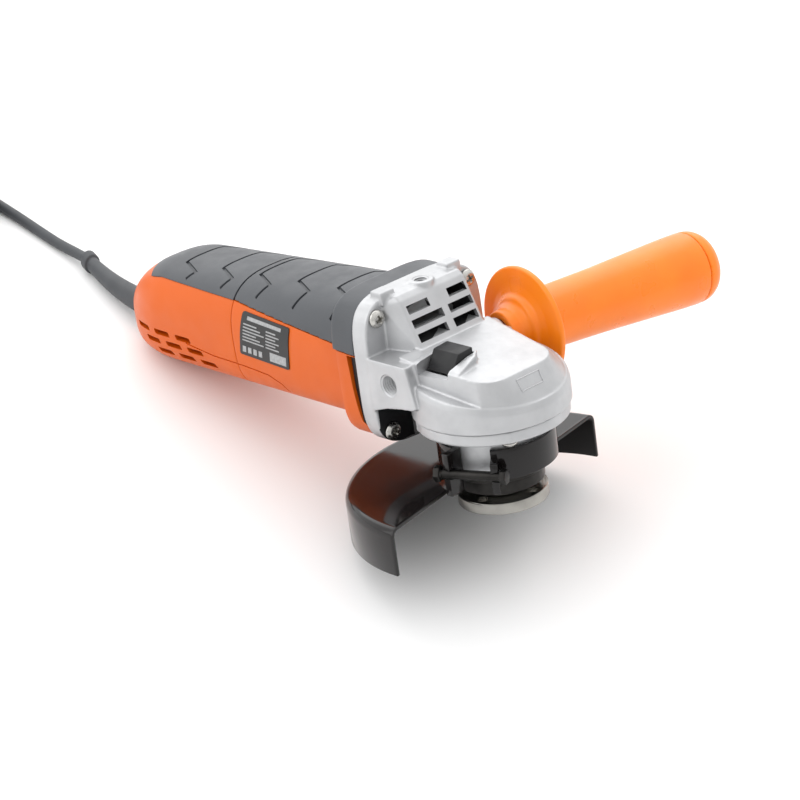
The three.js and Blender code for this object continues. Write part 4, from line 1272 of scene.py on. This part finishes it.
# ---- spindle end, guard and clamp ------------------------------------------------------------
def spindle_end():
    ring_top = NECK_BOTTOM - GAP
    ring = lathe([
        (10, RETAINER_BOTTOM), (RETAINER_RADIUS, RETAINER_BOTTOM), (RETAINER_RADIUS, ring_top),
        (10, ring_top),
    ], 0.5)
    keep(ring, "retaining_ring", "tool_body", "dark_steel", ["bearing_retainer"])
    seat_top = RETAINER_BOTTOM - GAP
    seat = lathe([
        (7, SEAT_HEIGHT + 0.2), (11.6, SEAT_HEIGHT + 0.2), (11.6, SEAT_HEIGHT), (SEAT_RADIUS, SEAT_HEIGHT),
        (SEAT_RADIUS, seat_top), (7, seat_top),
    ], 0.6)
    keep(seat, "backing_flange", "spindle_set", "dark_steel", ["inner_flange"])
    hub_top = SEAT_HEIGHT - GAP
    nut = lathe([
        (7, hub_top), (11, hub_top), (11, NUT_TOP), (NUT_RADIUS, NUT_TOP), (NUT_RADIUS, NUT_BOTTOM),
        (7, NUT_BOTTOM),
    ], 0.6, 144)
    for angle in (0, 90, 180, 270):
        cut(nut, upright(2.5, *polar(PIN_HOLE_CIRCLE, angle - 78), NUT_BOTTOM - 1.2, NUT_TOP + 1.6))
    keep(nut, "clamping_nut", "flange_nut", "bright_steel", ["flange_nut"], TOOL, TURNED_STEEL)
    profile = [
        (0, 5), (4.6, 5), (4.6, -4), (5.7, -4), (5.7, -36.2), (8.5, -36.2), (8.5, RETAINER_BOTTOM),
    ]
    for turn in range(7):
        profile += [(THREAD_RADIUS, THREAD_TOP - 2 * turn), (THREAD_ROOT, THREAD_TOP - 2 * turn - 1)]
    profile += [(6.2, SPINDLE_TIP), (0, SPINDLE_TIP)]
    keep(lathe(profile, 0, 64), "threaded_spindle", "spindle_set", "bright_steel", ["spindle"])


def edge_angle(radius, corner, foot):
    """Direction of the guard's straight edge where it crosses a radius."""
    start = Vector(polar(NECK_RADIUS + GAP, foot))
    leg = Vector(polar(GUARD_RADIUS, corner)) - start
    along, length = start.dot(leg), leg.length_squared
    share = (math.sqrt(along ** 2 + length * (radius ** 2 - start.length_squared)) - along) / length
    point = start + leg * share
    return math.degrees(math.atan2(point.y, point.x)) % 360


def guard():
    """Sheet steel: collar, flat plate and rolled-over skirt, swept from one straight edge round
    the back to the other."""
    inner, outer = NECK_RADIUS + GAP, GUARD_RADIUS
    shoulder = 4.2
    collar = inner + GUARD_SHEET / 2 + 0.05
    plate = GUARD_TOP - GUARD_SHEET / 2
    line = [Vector((collar, NECK_BOTTOM - 0.2)), Vector((collar, GUARD_TOP + 1.5))]
    line += [Vector((r, plate)) for r in (inner + 3.2, *spread(inner + 6, outer - shoulder - 1, 10))]
    centre = Vector((outer - shoulder, GUARD_TOP - shoulder))
    for angle in spread(90, 0, 8):
        line.append(centre + Vector(polar(shoulder - GUARD_SHEET / 2, angle)))
    line.append(Vector((outer - GUARD_SHEET / 2, GUARD_BOTTOM + 0.4)))
    sides = [[], []]
    for i, point in enumerate(line):
        leg = line[min(i + 1, len(line) - 1)] - line[max(i - 1, 0)]
        normal = Vector((-leg.y, leg.x)).normalized() * GUARD_SHEET / 2
        sides[0].append(point + normal)
        sides[1].append(point - normal)
    profile = sides[0] + sides[1][::-1]
    rings = []
    for share in spread(0, 1, 120):
        ring = []
        for point in profile:
            reach = min(max(point.x, inner + 0.01), outer)
            start = edge_angle(reach, GUARD_FAR_CORNER, GUARD_FAR_CORNER - 8)
            stop = edge_angle(reach, GUARD_NEAR_CORNER + 360, GUARD_NEAR_CORNER + 340)
            ring.append((*polar(point.x, start + (stop - start) * share), point.y))
        rings.append(ring)
    made = bevelled(skin_rings(rings), 0.3, 2, 50)
    keep(made, "guard_sheet", "guard_set", "guard_paint", ["guard"], crease=40)


def on_bolt_line(radius, start, stop, sides=32, edge=0.0):
    """A rod along the clamp's bolt, before the clamp is turned to its angle."""
    distance, height = CLAMP_BOLT
    return rod(radius, (distance, start, height), (distance, stop, height), sides, edge)


def clamp():
    outer, inner = 25.7, NECK_RADIUS + GAP
    profile = rounded([(inner, -40.4), (outer, -40.4), (outer, -26.5), (inner, -26.5)], 0.5)
    rings = [
        [(*polar(point.x, angle), point.y) for point in profile]
        for angle in spread(CLAMP_ANGLE + 17, CLAMP_ANGLE + 343, 120)
    ]
    strap = skin_rings(rings)
    for side, low, high in ((-1, -46, -26.5), (1, -44, -30)):
        ear = bevelled(box((NECK_RADIUS + 1, 32), (-1.6, 1.6), (low, high)), 0.6, 3)
        fused(strap, turned(ear, CLAMP_ANGLE + side * 20))
    cut(strap, turned(on_bolt_line(2.5, -17, 17), CLAMP_ANGLE))
    keep(strap, "clamp_strap", "guard_set", "guard_paint", ["clamp_band"], crease=40)
    head = on_bolt_line(3.4, 13.2, 16, 6, 0.5)
    bolt = turned(fused(on_bolt_line(2.1, -13.6, 13.6, 32, 0.3), head), CLAMP_ANGLE)
    keep(bolt, "clamp_bolt", "guard_set", "dark_steel", ["clamp_screw"])
    nut = cut(on_bolt_line(3.7, -16.6, -13.9, 6, 0.4), on_bolt_line(2.4, -30, 30))
    turned(nut, CLAMP_ANGLE)
    keep(nut, "clamp_hex_nut", "guard_set", "dark_steel", ["clamp_nut"])


# ---- side handle -----------------------------------------------------------------------------
def side_handle():
    disc, end = DISC_DISTANCE, HANDLE_LENGTH
    profile = [
        (6.2, 1), (9.8, 1), (10.2, disc - 9), (12, disc - 6.4), (14, disc - 5.6), (15.2, disc - 3.6),
        (19, disc - 2.4), (DISC_RADIUS, disc - 1.7), (DISC_RADIUS, disc + 0.8), (19, disc + 1.6),
        (14.6, disc + 3), (13.8, disc + 8), (14.6, disc + 40), (16.6, end - 12), (16.8, end - 2),
        (12.4, end - 2), (12.4, end - 12), (6.2, end - 12),
    ]
    made = lathe(profile, 1.1, 144)
    keep(made, "handle_grip", "side_handle", "handle_plastic", ["side_handle"], HANDLE, crease=45)
    cap = lathe([
        (0, end - 9), (12, end - 9), (12, end - 1.7), (16.8, end - 1.7), (16.4, end + 2),
        (14.8, end + 5), (11, end + 7.6), (5, end + 8.8), (0, end + 9),
    ], 1.2, 144)
    keep(cap, "handle_end", "side_handle", "handle_plastic", ["handle_cap"], HANDLE)
    profile = [(0, -8), (3.4, -8)]
    profile += [(4.1 if i % 2 == 0 else 3.5, -7.6 + i) for i in range(8)]
    profile += [(3.6, 0.6), (5.9, 0.6), (5.9, 60), (0, 60)]
    keep(lathe(profile, 0, 48), "handle_bolt", "side_handle", "bright_steel", ["handle_stud"], HANDLE)


# ---- carried-over CAD nodes ------------------------------------------------------------------
INNER_SLOTS = {
    "cast_aluminium": ("bearing_plate",),
    "bright_steel": ("spindle_bearing", "front_bearing", "rear_bearing", "lock_pin", "lock_spring",
                     "armature_shaft", "cord_clamp_screw_1", "cord_clamp_screw_2"),
    "dark_steel": ("crown_gear", "pinion", "stator", "armature_core"),
    "brass": ("spindle_bush", "brush_holder_1", "brush_holder_2"),
    "copper": ("field_coil_1", "field_coil_2", "commutator"),
    "carbon": ("carbon_brush_1", "carbon_brush_2"),
    "black_plastic": ("cooling_fan", "switch_rod", "switch_body", "cord_clamp"),
    "label_film": ("capacitor",),
}


def dress_inner_nodes():
    for slot, names in INNER_SLOTS.items():
        for name in names:
            materials = frame["nodes"][name].data.materials
            materials.clear()
            materials.append(SLOT_MATERIALS[slot])


# ---- assembly --------------------------------------------------------------------------------
add_camera()
add_floor()
add_light()
add_cord(plug_piece(), strain_relief())
motor_housing()
paint_collar_recess_shade()
rear_cover()
grips()
rating_label()
nose_mark(gear_housing())
bearing_cover()
case_screws()
small_screws()
lock_button()
switch_slider()
spindle_end()
guard()
clamp()
side_handle()
dress_inner_nodes()
